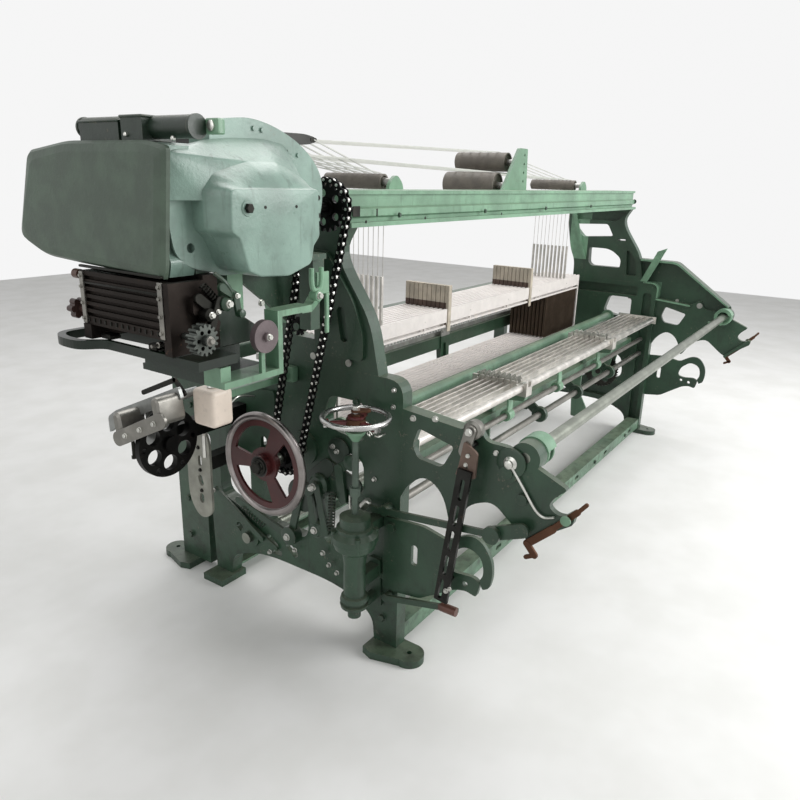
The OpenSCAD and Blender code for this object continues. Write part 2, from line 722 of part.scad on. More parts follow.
module dobby_case() {
    bench() dobby_lift() {
        color(green_dark) hull() {
            plate_x(panel_x1 - 10, 10) panel_outline(0);
            plate_x(case_x0 + 5, 8) panel_outline(7);
            plate_x(case_x0, 6) panel_outline(24);
        }
        color(green_pale) {
            plate_x(panel_x1 - 0.01, shell_x0 - panel_x1 + 1) panel_outline(16);
            plate_x(shell_x0, case_x1 - shell_x0 + 1) intersection() {
                panel_outline(2);
                translate([shell_y, body_z0 - 30]) square([700, 400]);
            }
            plate_x(case_x1, body_x1 - case_x1) shape([
                [body_y0, body_z0, 16], [600, body_z0, 16], [600, body_z1, 14],
                [body_y0, body_z1, 70]]);
            difference() {
                plate_y(shell_y, body_y0 - shell_y + 1.7) shape([
                    [-720, ledge_z + 1], [-718, 1467, 20], [-708, 1423, 20], [-668, 1390, 30],
                    [-608, 1378], [-581, 1366, 20], [-362, 1364, 10], [-330, 1392, 10], [body_x1, 1392],
                    [body_x1, ledge_z + 1]]);
                rod_y(shell_y - 1, shell_y + 9, -665, 1436, 11);
            }
            // Boss under the cover, and the shoulder that slopes up round it
            plate_y(base_y, shell_y - base_y + 1) cover_base();
            hull() {
                plate_y(base_y, 2) intersection() {
                    cover_base();
                    translate([-700, ledge_z]) square([400, 200]);
                }
                plate_y(shell_y - 8, 2) shape([[shell_x0, ledge_z], [shell_x0, 1640, 8],
                                               [-700, 1640], [-700, ledge_z]]);
                plate_y(hood_y - seat - 2, 2) shape([
                    [-700, ledge_z], [-700, 1640, 20], [-660, 1650, 20], [-588, 1670, 30],
                    [-513, 1679, 40], [-391, 1684, 40], [-306, 1671, 20], [body_x1, 1620, 20],
                    [body_x1, ledge_z]]);
            }
        }
    }
}
module dobby_cover() {
    bench() dobby_lift() {
        color(green_pale) {
            hull() {
                plate_y(base_y - 2, 2) cover_base();
                plate_y(cover_y0 + 7, 2) cover_front(0);
                plate_y(cover_y0, 2) cover_front(6);
            }
            plate_y(cover_y0 + 14, 5) difference() {
                shape([[cover_x1 - 2, 1488], [cover_x1 - 2, 1560, 6], [cover_x1 + 17, 1560, 7],
                       [cover_x1 + 17, 1488, 7]]);
                for (z = [1499, 1548]) translate([cover_x1 + 8, z]) circle(4);
            }
        }
        color(dark_steel) {
            rod_y(cover_y0 - 12, cover_y0 + 1, -580, 1526, 13);
            for (x = [-525, -420]) rod_y(cover_y0 - 3, cover_y0 + 1, x, 1527, 6);
        }
    }
}
// The hood carries the shaft of the upper chain wheel
module dobby_hood() {
    bench() dobby_lift() {
        color(green_pale) difference() {
            plate_y(hood_y, 70) shape([
                [body_x1, body_z0], [body_x1, body_z1], [-562, body_z1], [-556, 1716, 14],
                [-500, 1724, 30], [-431, 1731, 50], [-345, 1716, 70], [-253, 1680, 70],
                [-190, 1632, 60], [-160, 1584, 50], [-166, 1500, 60], [-215, 1425, 60],
                [-290, body_z0, 20]]);
            rod_x(-296, 0, dobby_y, dobby_z - up, dobby_shaft_r + fit);
        }
        color(dark_steel) for (p = [[-420, 1706], [-392, 1704], [-262, 1650]])
            rod_y(hood_y - 5, hood_y + 1, p[0], p[1], 6);
    }
}
module dobby_top_boxes() {
    bench() dobby_lift() color(dark_steel) {
        block(-728, -658, 285, 430, body_z1, 1700);
        rod_y(288, 446, -700, 1692, 22);
        block(-728, -642, 202, 275, body_z1, 1708);
        rod_y(72, 268, -690, 1690, 24);
    }
}

// Jack levers on the dobby pull the cables of the heald frames

function heald_mid(k) = heald_y + k * heald_pitch + heald_t / 2;
lever_low = [62, 1664];
lever_high = [138, 1712];
function lever_tip(k) = k % 2 == 0 ? lever_low : lever_high;
module jack_levers() {
    bench() dobby_lift() {
        color(green_dark) {
            block(-348, -304, 430, 590, body_z1, body_z1 + 24);
            rod_y(430, stack_end + 12, -326, body_z1 + 34, 13);
            block(-340, -312, 430, 590, body_z1, body_z1 + 34);
        }
        color(dark_steel) for (k = [0 : heald_count - 1]) let (q = lever_tip(k))
            plate_y(heald_mid(k) - 2, 4) {
                shape([[-344, body_z1 + 28, 6], [-200, body_z1 + 14, 60],
                       [q[0] - 26, q[1] - 16, 10], [q[0] + 8, q[1] - 8, 4],
                       [q[0] + 6, q[1] + 8, 4], [q[0] - 40, q[1] + 16, 30],
                       [-180, body_z1 + 62, 60], [-344, body_z1 + 46, 8]]);
            }
    }
}

// Stand that carries the dobby from the left arch

module dobby_stand() {
    bench() dobby_lift() {
        color(green_dark) {
            block(-650, -186, body_y0 + 2, 598, body_z0 - table_t, body_z0);
            difference() {
                block(-310, 0, 372, 444, 1310, body_z0 - table_t + 0.01);
                block(-302, -14, 380, 436, 1300, body_z0 - table_t - 8);
            }
            plate_y(400, 14) polygon([[-300, 1312], [0, 1312], [0, 1110], [-30, 1110]]);
            plate_x(-14, 14) difference() {
                shape([[150, 1040, 20], [350, 1040, 20], [350, 1300, 20], [430, 1330, 10],
                       [430, 1376, 6], [300, 1376, 10], [190, 1230, 40], [150, 1120, 20]]);
                slot_2d([225, 1110], [240, 1190], 16);
            }
            rod_x(-111, -13, idler_y, idler_z - up, 8);
            rod_x(-86, -13, idler_y, idler_z - up, 14);
            block(-212, -172, 190, 232, 1168, body_z0 - table_t + 0.01);
        }
        color(green_pale) {
            block(-216, -168, 176, 190.01, 1281, body_z0 - table_t + 0.01);
            difference() {
                block(-556, -507, body_y0 + 2, 192, 1262, body_z0 - table_t + 0.01);
                rod_y(body_y0, 200, -528, 1285, 7);
            }
        }
        color(bare_steel) rod_x(-115, -110 - seat, idler_y, idler_z - up, 12);
    }
}
module dobby_bracket() {
    bench() dobby_lift() {
        color(green_pale) {
            block(-492, -476, 50, 96, 1120, 1281);
            block(-492, -370, 50, 96, 1265, 1281);
            translate([0, 0, 1262]) linear_extrude(19) polygon([
                [-400, 52], [-366, 50], [-172, 176], [-172, 190], [-214, 190]]);
            block(-671, -476, 50, 350, 1120, 1136);
            block(-671, -640, 62, 340, 1135, 1170);
        }
        color(dark_steel) block(-626, -500, 180, 340, 1135, 1190);
        color("#a39a9c") {
            rod_y(36, 52, -545, 1228, 40);
            rod_y(28, 37, -545, 1228, 11);
            block(-551, -539, 50, 60, 1135, 1228);
        }
    }
}

// Pattern reader below the dobby panel

reader_x0 = -748;
reader_x1 = -612;
module reader_box() {
    bench() dobby_lift() {
        color(dark_steel) {
            difference() {
                union() {
                    block(reader_x0, case_x1, 125, 460, 1235, 1366);
                    block(case_x1 + 1, reader_x1, 125, 460, 1235, body_z0 - table_t);
                    block(case_x1 - 1, case_x1 + 2, 125, 460, 1235, 1366);
                }
                for (z = [1256 : 18 : 1350])
                    block(reader_x0 - 1, reader_x0 + 9, 166, 446, z, z + 9);
                block(reader_x0 + 20, reader_x1 - 12, 140, 440, 1245, 1400);
                rod_y(120, 141, card_x, card_z, 8 + fit);
                rod_y(440, 470, star_x, star_z, 8 + fit);
                rod_y(440, 470, knob_x, knob_z, 5 + fit);
            }
            rod_y(126, 459, -709, 1330, 16);
        }
        color("#8d8f8d") {
            block(reader_x0 - 4, reader_x0 + 14, 125, 142, 1200, 1366);
            block(reader_x0 - 4, reader_x1, 125, 150, 1199, 1236);
            block(reader_x0 - 4, reader_x1, 430, 460, 1199, 1236);
            plate_y(108, 18) shape([[-700, 1330, 14], [-640, 1345, 14], [-628, 1300, 10],
                                    [-700, 1290, 10]]);
            plate_y(96, 30) shape([[-690, 1262, 10], [-662, 1290, 10], [-630, 1270, 10],
                                   [-640, 1250, 8]]);
        }
        color(green_dark) {
            // Shelf with a looped handle at its far end
            translate([0, 0, 1178]) linear_extrude(22) difference() {
                shape([[reader_x0 + 6, 50], [reader_x0 + 6, 396, 20], [-792, 432, 30],
                       [-792, 520, 40], [-756, 572, 30], [-640, 572, 30], [-628, 50]]);
                shape([[reader_x0 + 18, 190, 8], [reader_x0 + 18, 396, 20], [-772, 440, 20],
                       [-772, 512, 30], [-748, 552, 20], [-656, 552, 20], [-644, 190, 8]]);
            }
        }
    }
}
card_x = -716;
card_z = 1246;
star_x = -722;
star_z = 1262;
knob_x = -730;
knob_z = 1352;
module card_gear() {
    bench() dobby_lift() {
        color("#7c7f7e") difference() {
            plate_y(52, 26) translate([card_x, card_z]) polygon([
                for (i = [0 : 15]) for (k = [0 : 3])
                    let (a = i * 22.5 + [-8, -4, 4, 8][k], q = (k == 1 || k == 2) ? 36 : 29)
                    [q * cos(a), q * sin(a)]]);
            for (a = [0 : 60 : 300]) rod_y(50, 80, card_x + 20 * cos(a), card_z + 20 * sin(a), 5);
        }
        color(bare_steel) {
            rod_y(38, 140, card_x, card_z, 8);
            rod_y(38, 53, card_x, card_z, 13);
        }
    }
}
module reader_knob() {
    bench() dobby_lift() color("#6b5148") {
        rod_y(441, 490, knob_x, knob_z, 5);
        rod_y(486, 508, knob_x, knob_z, 12);
    }
}
module reader_handle() {
    bench() dobby_lift() color("#3b322e") {
        rod_y(441, 515, star_x, star_z, 8);
        plate_y(512, 22) {
            translate([star_x, star_z]) circle(20);
            for (a = [0 : 60 : 300])
                translate([star_x + 19 * cos(a), star_z + 19 * sin(a)]) circle(8);
        }
    }
}

// Heald frames

guide_x = [1020, frame_span - 1005];
module heald(k) {
    y0 = heald_y + k * heald_pitch;
    ym = heald_mid(k);
    x1 = heald_x + heald_len;
    z0 = heald_top - heald_h;
    z1 = heald_top;
    if (k < heald_count) bench() {
        color("#c9cccd") {
            block(heald_x, x1, y0, y0 + heald_t, z1 - lath_h, z1);
            block(heald_x, x1, y0, y0 + heald_t, z0, z0 + 46);
            for (x = [heald_x, x1 - 16]) block(x, x + 16, y0, y0 + heald_t, z0, z1);
        }
        color(bare_steel) {
            for (z = [z1 - lath_h - 22, z0 + 58])
                block(heald_x + 15, x1 - 15, ym - 1.5, ym + 1.5, z, z + 10);
            for (x = [wire_left_x, wire_right_x])
                block(x - 6, x + 6, y0 + 0.5, y0 + heald_t - 0.5, z1 - 1, z1 + 195);
            rod_z(z1 + 190, wire_top, wire_left_x, ym - 4, wire_r);
            rod_z(z1 + 190, wire_top, wire_right_x, ym + 4, wire_r);
        }
        color("#ddd6bd") for (x = guide_x)
            block(x, x + 25, y0 - 5, y0 + heald_t + 5, z1 - 60, z1 + 105);
        color("#e4e4e0") for (x = [heald_x + 190 : 410 : x1 - 150]) {
            block(x, x + 9, ym - 3, ym + 3, z1 - lath_h - 24, z1 - lath_h + 1);
            block(x, x + 9, ym - 3, ym + 3, z0 + 45, z0 + 69);
        }
        color("#8a7358")
            block(x1 - 508, x1 - 38, ym - 2.5, ym + 2.5, z0 + 62, z1 - lath_h - 16);
    }
}

// Drums that lead the cables over the healds

drum_y0 = 430;
drum_y1 = stack_end + 24;
centre_low = [1400, beam_top + 20];
centre_up = [1495, centre_low[1] + centre_r + 2 * cable_r + seat + upper_r + 1];
module drum(x, z, r) {
    bench() difference() {
        color("#5a5248") rod_y(drum_y0, drum_y1, x, z, r);
        rod_y(drum_y0 - 1, drum_y1 + 1, x, z, axle_r + fit);
        for (y = [drum_y0 - 1, drum_y1 - 8]) translate([x, y, z]) rotate([-90, 0, 0])
            difference() {
                cylinder(h = 9, r = r - 6);
                translate([0, 0, -1]) cylinder(h = 12, r = axle_r + 7);
            }
    }
}
module left_drum() { drum(left_drum_x, drum_z, drum_r); }
module right_drum() { drum(right_drum_x, drum_z, drum_r); }
module centre_drum() { drum(centre_low[0], centre_low[1], centre_r); }
module upper_drum() { drum(centre_up[0], centre_up[1], upper_r); }
module axle(x, z) {
    rod_y(beam_y + beam_d + 1, drum_y1 + 3, x, z, axle_r);
    rod_y(drum_y1 + seat, drum_y1 + 9, x, z, axle_r + 5);
    rod_y(beam_y + beam_d + 1, drum_y0 - seat, x, z, axle_r + 5);
}
module drum_brackets() {
    y = beam_y + beam_d;
    bench() {
        color(green_pale) {
            difference() {
                plate_y(y, 14) shape([[1345, 1500, 8], [1350, 1560], [1501, 1750, 8],
                                      [1592, 1750, 8], [1612, 1500, 8]]);
                for (z = [1600, 1640, 1680, 1720]) rod_y(y - 1, y + 15, 1562, z, 6);
            }
            for (x = [left_drum_x, right_drum_x])
                plate_y(y, 14) shape([[x - 46, 1500, 8], [x - 46, 1575, 20], [x, 1618, 30],
                                      [x + 46, 1575, 20], [x + 46, 1500, 8]]);
        }
        color(bare_steel) {
            for (x = [left_drum_x, right_drum_x]) axle(x, drum_z);
            axle(centre_low[0], centre_low[1]);
            axle(centre_up[0], centre_up[1]);
        }
    }
}

// Cables from the jack levers over the drums

// Point where a line from p meets a circle round c from above, for lines that run right
function touch_after(p, c, r) =
    let (v = c - p, d = norm(v), a = atan2(v[1], v[0]) + asin(r / d), l = sqrt(d * d - r * r))
    p + l * [cos(a), sin(a)];
function touch_angle(p, c, r) =
    let (q = touch_after(p, c, r) - c) atan2(q[1], q[0]);
function arc_points(c, r, a0, a1) =
    let (steps = max(1, round(abs(a1 - a0) / 11)))
    [for (i = [0 : steps]) let (a = a0 + (a1 - a0) * i / steps) c + r * [cos(a), sin(a)]];
// Outline of a thin band along a path
function path_side(path, i) =
    let (n = len(path), d = unit(path[min(i + 1, n - 1)] - path[max(i - 1, 0)])) [-d[1], d[0]];
function band(path, h) = concat(
    [for (i = [0 : len(path) - 1]) path[i] + h * path_side(path, i)],
    [for (i = [len(path) - 1 : -1 : 0]) path[i] - h * path_side(path, i)]);
module cable(path, y) { plate_y(y - cable_r, 2 * cable_r) polygon(band(path, cable_r)); }
module harness_cables() {
    rl = drum_r + cable_r + seat;
    cl = [left_drum_x, drum_z];
    cr = [right_drum_x, drum_z];
    bench() color("#d9dad8") for (k = [0 : heald_count - 1]) {
        q = lever_tip(k) + [0, up];
        al = touch_angle(q, cl, rl);
        cable(concat([q], arc_points(cl, rl, al, cable_end)), heald_mid(k) - 4);
        c = k % 2 == 0 ? centre_low : centre_up;
        rc = (k % 2 == 0 ? centre_r : upper_r) + cable_r + seat;
        ac = touch_angle(q, c, rc);
        // the centre drum and the right drum share a tangent above them
        run = cr - c;
        aa = min(ac - 0.1, atan2(run[1], run[0]) + 90 - asin((rc - rl) / norm(run)));
        cable(concat([q], arc_points(c, rc, ac, aa), arc_points(cr, rl, aa, cable_end)),
              heald_mid(k) + 4);
    }
}

// Sley with the reed

sley_z0 = 735;
sley_z1 = 800;
sley_x0 = rim_w + 22;
sley_x1 = frame_span - rim_w - 22;
sword_x = [430, 1450, frame_span - 450];
module sley() {
    reed_x0 = sley_x0 + 60;
    dent = (sley_x1 - sley_x0 - 120) / reed_dents;
    bench() {
        color(green_dark) {
            difference() {
                block(sley_x0, sley_x1, 720, 782, sley_z0, sley_z1);
                block(sley_x0 - 1, sley_x1 + 1, 729, 783, sley_z0 + 9, sley_z1 - 9);
            }
            for (x = sword_x) difference() {
                union() {
                    plate_x(x, 24) shape([[668, 235, 20], [682, 500, 40], [700, sley_z0 + 30],
                                          [760, sley_z0 + 1], [740, 500, 40], [732, 235, 20]]);
                    rod_x(x - 8, x + 32, rock_y, rock_z, 40);
                    block(x - 30, x + 54, 712, 720.01, sley_z0 - 60, sley_z1 + 40);
                }
                rod_x(x - 60, x + 80, rock_y, rock_z, rock_r + fit);
                for (u = [-18, 42]) rod_y(700, 730, x + u, sley_z1 + 22, 7);
            }
        }
        color(bare_steel) {
            block(reed_x0 - 12, sley_x1 - 48, 742, 768, sley_z1 - 0.01, sley_z1 + 22);
            block(reed_x0 - 12, sley_x1 - 48, 746, 764, 922, 946);
            for (i = [0 : reed_dents])
                block(reed_x0 + i * dent - 3, reed_x0 + i * dent + 3, 752, 758, sley_z1 + 20, 924);
        }
    }
}
module rocking_shaft() {
    bench() color(bare_steel) {
        rod_x(-30, frame_span + 30, rock_y, rock_z, rock_r);
        for (x = sword_x) {
            rod_x(x - 32, x - 8 - seat, rock_y, rock_z, rock_r + 12);
            rod_x(x + 32 + seat, x + 56, rock_y, rock_z, rock_r + 12);
        }
    }
}

// Rapier drive outside the left frame

rapier_x = -394;
rapier_y = 640;
rapier_z = 764;
rapier_rod_r = 16;
module rapier_wheel() {
    r = rapier_wheel_d / 2;
    bench() {
        color("#26282a") difference() {
            rod_y(rapier_y, rapier_y + 22, rapier_x, rapier_z, r);
            for (a = [30 : 60 : 330])
                rod_y(rapier_y - 1, rapier_y + 30, rapier_x + (r - 46) * cos(a),
                      rapier_z + (r - 46) * sin(a), 26);
            for (a = [0 : 60 : 300])
                rod_y(rapier_y - 1, rapier_y + 30, rapier_x + (r - 18) * cos(a),
                      rapier_z + (r - 18) * sin(a), 9);
        }
        color(dark_steel) rod_y(rapier_y - 14, rapier_y + 100, rapier_x, rapier_z, rapier_rod_r);
        color(dark_steel) rod_y(rapier_y - 14, rapier_y + 1, rapier_x, rapier_z, 24);
    }
}
module rapier_stand() {
    y0 = rapier_y + 22 + seat;
    bench() {
        color(dark_steel) difference() {
            union() {
                rod_y(y0, y0 + 80, rapier_x, rapier_z, 36);
                block(rapier_x, -13, y0 + 22, y0 + 66, rapier_z - 30, rapier_z + 30);
                block(rapier_x - 20, rapier_x + 20, y0 + 26, y0 + 62, rapier_z, 880);
                block(-150, -13, 735, 785, 560, 610);
            }
            rod_y(y0 - 1, y0 + 90, rapier_x, rapier_z, rapier_rod_r + fit);
        }
        color(green_dark) plate_x(-14, 14) difference() {
            shape([[540, 560, 30], [540, 870, 20], [640, 856, 40], [800, 848, 20],
                   [800, 560, 30]]);
            slot_2d([600, 620], [600, 670], 14);
            slot_2d([740, 660], [740, 700], 14);
        }
        color("#8f9290") {
            plate_x(rapier_x - 34, 68) shape([
                [884, 764, 6], [888, 804, 10], [850, 828, 20], [700, 896, 60], [530, 970, 10],
                [517, 946, 6], [690, 870, 60], [836, 798, 12], [856, 770, 6]]);
            plate_x(rapier_x - 46, 12.01) shape([
                [890, 756, 6], [892, 812, 12], [850, 842, 20], [520, 986, 10], [506, 950, 6],
                [836, 800, 12]]);
        }
        color("#b9bfb4") plate_x(-160, 10.01) difference() {
            shape([[730, 380, 40], [730, 700, 60], [790, 730, 40], [855, 640, 60],
                   [855, 420, 60], [800, 350, 40]]);
            slot_2d([785, 430], [785, 445], 12);
            slot_2d([782, 500], [788, 520], 12);
            slot_2d([785, 575], [785, 600], 9);
        }
    }
}
tank_z = frame_h - 140;
tank_h = 117;
module oil_tank() {
    bench() {
        color("#e3ded4") difference() {
            translate([-400, 415, tank_z]) linear_extrude(tank_h) shape([
                [0, 0, 10], [85, 0, 10], [85, 95, 10], [0, 95, 10]]);
            rod_z(tank_z + tank_h - 3, tank_z + tank_h + 3, -358, 462, 16);
        }
        color(green_pale) block(-316, 0, 450, 474, tank_z + 70, tank_z + 94);
        color(bare_steel) rod_x(-316, -20, 462, tank_z + 106, 5);
        color(bare_steel) block(-24, 0, 454, 470, tank_z + 93, tank_z + 112);
    }
}

// Take-up ratchet on its own short shaft

ratchet_y = 200;
ratchet_z = 473;
module ratchet_wheel() {
    bench() color(dark_steel) {
        difference() {
            plate_x(2556, 18) translate([ratchet_y, ratchet_z]) polygon([
                for (i = [0 : 35]) for (k = [0, 1])
                    let (a = i * 10 + k * 8.6, q = k == 0 ? 110 : 99) [q * cos(a), q * sin(a)]]);
            for (a = [0 : 60 : 300])
                rod_x(2550, 2580, ratchet_y + 64 * cos(a), ratchet_z + 64 * sin(a), 22);
        }
        rod_x(2500, 2640, ratchet_y, ratchet_z, 15);
        rod_x(2546, 2584, ratchet_y, ratchet_z, 30);
    }
}

// Let-off drive on the left rear leg: hand wheel on an upright shaft in a bell gearbox

letoff_x = -130;
letoff_y = 85;
bell_z = 440;
module letoff_wheel() {
    r = letoff_wheel_d / 2;
    bench() translate([letoff_x, letoff_y, 0]) {
        color(bare_steel) translate([0, 0, 900]) rotate_extrude()
            translate([r - 9, 0]) circle(9);
        color("#8e2f2b") {
            for (a = [20, 140, 260]) rotate(a) difference() {
                translate([0, -9, 878]) cube([r - 10, 18, 14]);
                translate([r - 22, -10, 890]) cube([30, 20, 8]);
            }
            for (a = [20, 140, 260]) rotate(a)
                translate([r - 26, -9, 878]) cube([16, 18, 22]);
            translate([0, 0, 866]) cylinder(h = 40, r = 26);
        }
        color(bare_steel) {
            translate([0, 0, 470]) cylinder(h = 448, r = 11);
            translate([0, 0, 640]) cylinder(h = 30, r = 18);
        }
    }
}
module letoff_gearbox() {
    bench() {
        color(green_dark) difference() {
            translate([letoff_x, letoff_y, 0]) union() {
                rotate_extrude() polygon([
                    [0, 240], [46, 240], [48, 250], [40, 254], [40, 262], [48, 266], [44, 280],
                    [36, 284], [36, 400], [42, bell_z], [66, bell_z + 20], [75, bell_z + 46],
                    [75, bell_z + 66], [60, bell_z + 80], [60, bell_z + 92], [50, bell_z + 96],
                    [50, bell_z + 128], [30, bell_z + 136], [0, bell_z + 136]]);
                for (a = [45 : 90 : 315]) rotate(a) translate([68, 0, bell_z + 34])
                    cylinder(h = 46, r = 9);
            }
            rod_z(468, 700, letoff_x, letoff_y, 11 + fit);
        }
        color(green_dark) {
            block(letoff_x, 0, 70, 112, 296, 340);
            block(letoff_x + 40, 0, 62, 108, 486, 524);
            rod_z(200, 241, letoff_x, letoff_y, 22);
            rod_x(letoff_x, -13, letoff_y + 10, 214, 20);
            plate_x(-14, 14) shape([[58, 180, 10], [120, 180, 10], [120, 360, 16],
                                    [66, 360, 10]]);
        }
    }
}

left_side_frame();
right_side_frame();
left_arch();
right_arch();
top_beam();
floor_channels();
back_rail();
breast_beam();
take_up_roller();
stop_stand();
stop_bars();
stop_combs();
left_rear_bracket();
right_rear_bracket();
right_casing();
whip_roller();
beam_hooks();
letoff_levers();
slotted_bar();
hand_wheel();
main_shaft();
drive_sprocket();
chain();
dobby_sprocket();
idler_sprocket();
dobby_case();
dobby_cover();
dobby_hood();
dobby_top_boxes();
jack_levers();
dobby_bracket();
dobby_stand();
reader_box();
reader_knob();
reader_handle();
card_gear();
harness_cables();
left_drum();
centre_drum();
upper_drum();
right_drum();
drum_brackets();
sley();
rocking_shaft();
rapier_wheel();
rapier_stand();
oil_tank();
ratchet_wheel();
letoff_wheel();
letoff_gearbox();
heald(0);  // heald_1
heald(1);  // heald_2
heald(2);  // heald_3
heald(3);  // heald_4
heald(4);  // heald_5
heald(5);  // heald_6
heald(6);  // heald_7
heald(7);  // heald_8
heald(8);  // heald_9
heald(9);  // heald_10
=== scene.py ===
"""Dresses the power loom: paint, plating, bolts, heddles, springs and small fittings.

Places are written as on the loom's bench, in millimetres: x from the outer face of
the left side frame, y from the rear legs towards the weaver, z from the floor.
A shape is a pair, an array of points and a list of faces, and closes on itself.
"""

import math

import bpy
import numpy as np
from bpy.props import FloatProperty, FloatVectorProperty, PointerProperty
from mathutils import Matrix


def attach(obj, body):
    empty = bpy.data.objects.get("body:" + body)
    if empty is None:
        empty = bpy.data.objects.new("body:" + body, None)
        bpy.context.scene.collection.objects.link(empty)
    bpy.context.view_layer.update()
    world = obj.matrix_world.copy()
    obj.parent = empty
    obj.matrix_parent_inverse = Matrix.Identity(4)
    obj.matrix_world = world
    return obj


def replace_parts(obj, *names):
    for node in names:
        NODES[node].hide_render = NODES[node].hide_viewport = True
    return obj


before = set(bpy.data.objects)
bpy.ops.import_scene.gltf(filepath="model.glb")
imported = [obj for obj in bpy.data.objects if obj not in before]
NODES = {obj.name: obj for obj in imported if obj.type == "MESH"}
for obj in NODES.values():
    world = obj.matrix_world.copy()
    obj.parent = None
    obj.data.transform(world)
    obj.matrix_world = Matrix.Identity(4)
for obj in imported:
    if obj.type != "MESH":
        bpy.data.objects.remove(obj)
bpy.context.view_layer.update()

bl_info = {
    "name": "Power Loom Finish",
    "version": (1, 0, 0),
    "blender": (4, 5, 0),
    "location": "View3D > Sidebar > Loom",
    "description": "Paint, fasteners, heddles and small fittings of a power loom",
    "category": "Object",
}

MM = 0.001
BENCH = np.array([-1460.0, -560.0, 0.0])    # from bench places to the loom's own origin
SPAN = 2920                                 # over the outer faces of the side frames
MAIN_SHAFT = (410, 685)                     # shafts that run across the loom, as (y, z)
DOBBY_SHAFT = (220, 1512)
WHIP_ROLLER = (-420, 852)
BRACKET_BOSS = (-381, 830)                  # boss on each rear bracket, below the whip roller
LETOFF = (-130, 85)                         # the upright let-off shaft, as (x, y)
CHAIN_PITCH = 25.4
CHAIN_TEETH = (19, 15)                      # on the dobby's sprocket and on the main shaft's
HEALDS = 10
FIRST_HEALD = 455.5
HEALD_PITCH = 24
HEALD_GUIDES = (1012, 1907)                 # left edges of the two guides in each heald frame
STOP_COMBS = (905.0, 2015.0)                # middles of the two combs of the stop motion
COVER_MIDDLE = np.array([-480.0, 1500.0])   # of the dobby's front cover, as (x, z)
COVER_BACK = 110.0                          # y of the cover's rear edge


# Shapes


def ring(radius, count):
    """Points on a circle: the angle runs once round, and each point is radius times its cosine and sine."""
    a = np.linspace(0.0, 2 * np.pi, count, endpoint=False)
    return np.stack([radius * np.cos(a), radius * np.sin(a)], 1)


def turned_axes(axis):
    """The three directions (across, up, along) of a right-handed frame whose third one is the named axis."""
    table = {
        "x": [(0, 1, 0), (0, 0, 1), (1, 0, 0)],
        "-x": [(0, -1, 0), (0, 0, 1), (-1, 0, 0)],
        "y": [(-1, 0, 0), (0, 0, 1), (0, 1, 0)],
        "-y": [(1, 0, 0), (0, 0, 1), (0, -1, 0)],
        "z": [(1, 0, 0), (0, 1, 0), (0, 0, 1)],
    }
    return np.array(table[axis], float)


def skin_of_rings(rings):
    """Quads between closed rings of points, with a flat lid on the first and the last ring.

    rings is an array (rows, points, 3). Point j of row i joins the next point of its own row
    and both points of the next row, and the last point joins the first one."""
    rows, n = rings.shape[:2]
    i, j = np.meshgrid(np.arange(rows - 1), np.arange(n), indexing="ij")
    k = (j + 1) % n
    quads = np.stack([i * n + j, i * n + k, (i + 1) * n + k, (i + 1) * n + j], -1)
    lids = [list(range(n - 1, -1, -1)), list(range((rows - 1) * n, rows * n))]
    return rings.reshape(-1, 3), quads.reshape(-1, 4).tolist() + lids


def turned(profile, sides=32, axis="z", centre=(0, 0, 0)):
    """A turned part: each (radius, height) of the profile is carried once round the axis."""
    profile = np.array(profile, float)
    across = profile[:, 0, None, None] * ring(1.0, sides)[None]
    along = np.broadcast_to(profile[:, 1, None, None], across.shape[:2] + (1,))
    local = np.concatenate([across, along], 2)
    return skin_of_rings(local @ turned_axes(axis) + np.array(centre, float))


def hexagon(across, height, axis, centre):
    """A nut or bolt head: six sides, with the corners of its outer end cut back."""
    r = across / math.sqrt(3.0)
    return turned([(r, 0), (r, height * 0.82), (r * 0.86, height)], 6, axis, centre)


def bolts(axis, *heads):
    """Hexagon heads on round washers, each written as (x, y, z, width across, height)."""
    shapes = []
    for *at, across, height in heads:
        at = np.array(at, float)
        washer = [(across * 0.70, 0), (across * 0.70, 1.4), (across * 0.64, 2.0)]
        shapes.append(turned(washer, 14, axis, at))
        shapes.append(hexagon(across, height, axis, at + turned_axes(axis)[2] * 2.0))
    return shapes


def plate(outline, thick, bevel, axis="z", centre=(0, 0, 0)):
    """A plate: its outline is carried along the axis, and drawn in by the bevel at both ends."""
    outline = np.array(outline, float)
    step = np.roll(outline, -1, 0) - np.roll(outline, 1, 0)
    normal = np.stack([step[:, 1], -step[:, 0]], 1)
    normal /= np.maximum(np.linalg.norm(normal, axis=1, keepdims=True), 1e-9)
    area = np.sum(outline[:, 0] * np.roll(outline[:, 1], -1) - outline[:, 1] * np.roll(outline[:, 0], -1))
    small = outline - normal * bevel * np.sign(area)
    rows = [(small, 0.0), (outline, bevel), (outline, thick - bevel), (small, thick)]
    local = np.stack([np.concatenate([o, np.full((len(o), 1), h)], 1) for o, h in rows])
    return skin_of_rings(local @ turned_axes(axis) + np.array(centre, float))


def rounded(width, height, radius, steps=4):
    """A rectangle about the origin whose corners are quarter circles."""
    corners = [(1, 1, 0), (-1, 1, 90), (-1, -1, 180), (1, -1, 270)]
    a = np.radians(np.linspace(0, 90, steps + 1))
    points = []
    for sx, sy, start in corners:
        t = a + math.radians(start)
        points.append(np.stack([sx * (width / 2 - radius) + radius * np.cos(t),
                                sy * (height / 2 - radius) + radius * np.sin(t)], 1))
    return np.concatenate(points)


def box(lo, hi, bevel):
    """A block between two corners, with its four long edges rounded and its ends drawn in."""
    lo, hi = np.array(lo, float), np.array(hi, float)
    size = hi - lo
    outline = rounded(size[0], size[1], min(bevel, size[0] * 0.45, size[1] * 0.45), 2)
    centre = ((lo[0] + hi[0]) / 2, (lo[1] + hi[1]) / 2, lo[2])
    return plate(outline, size[2], min(bevel, size[2] * 0.45), "z", centre)


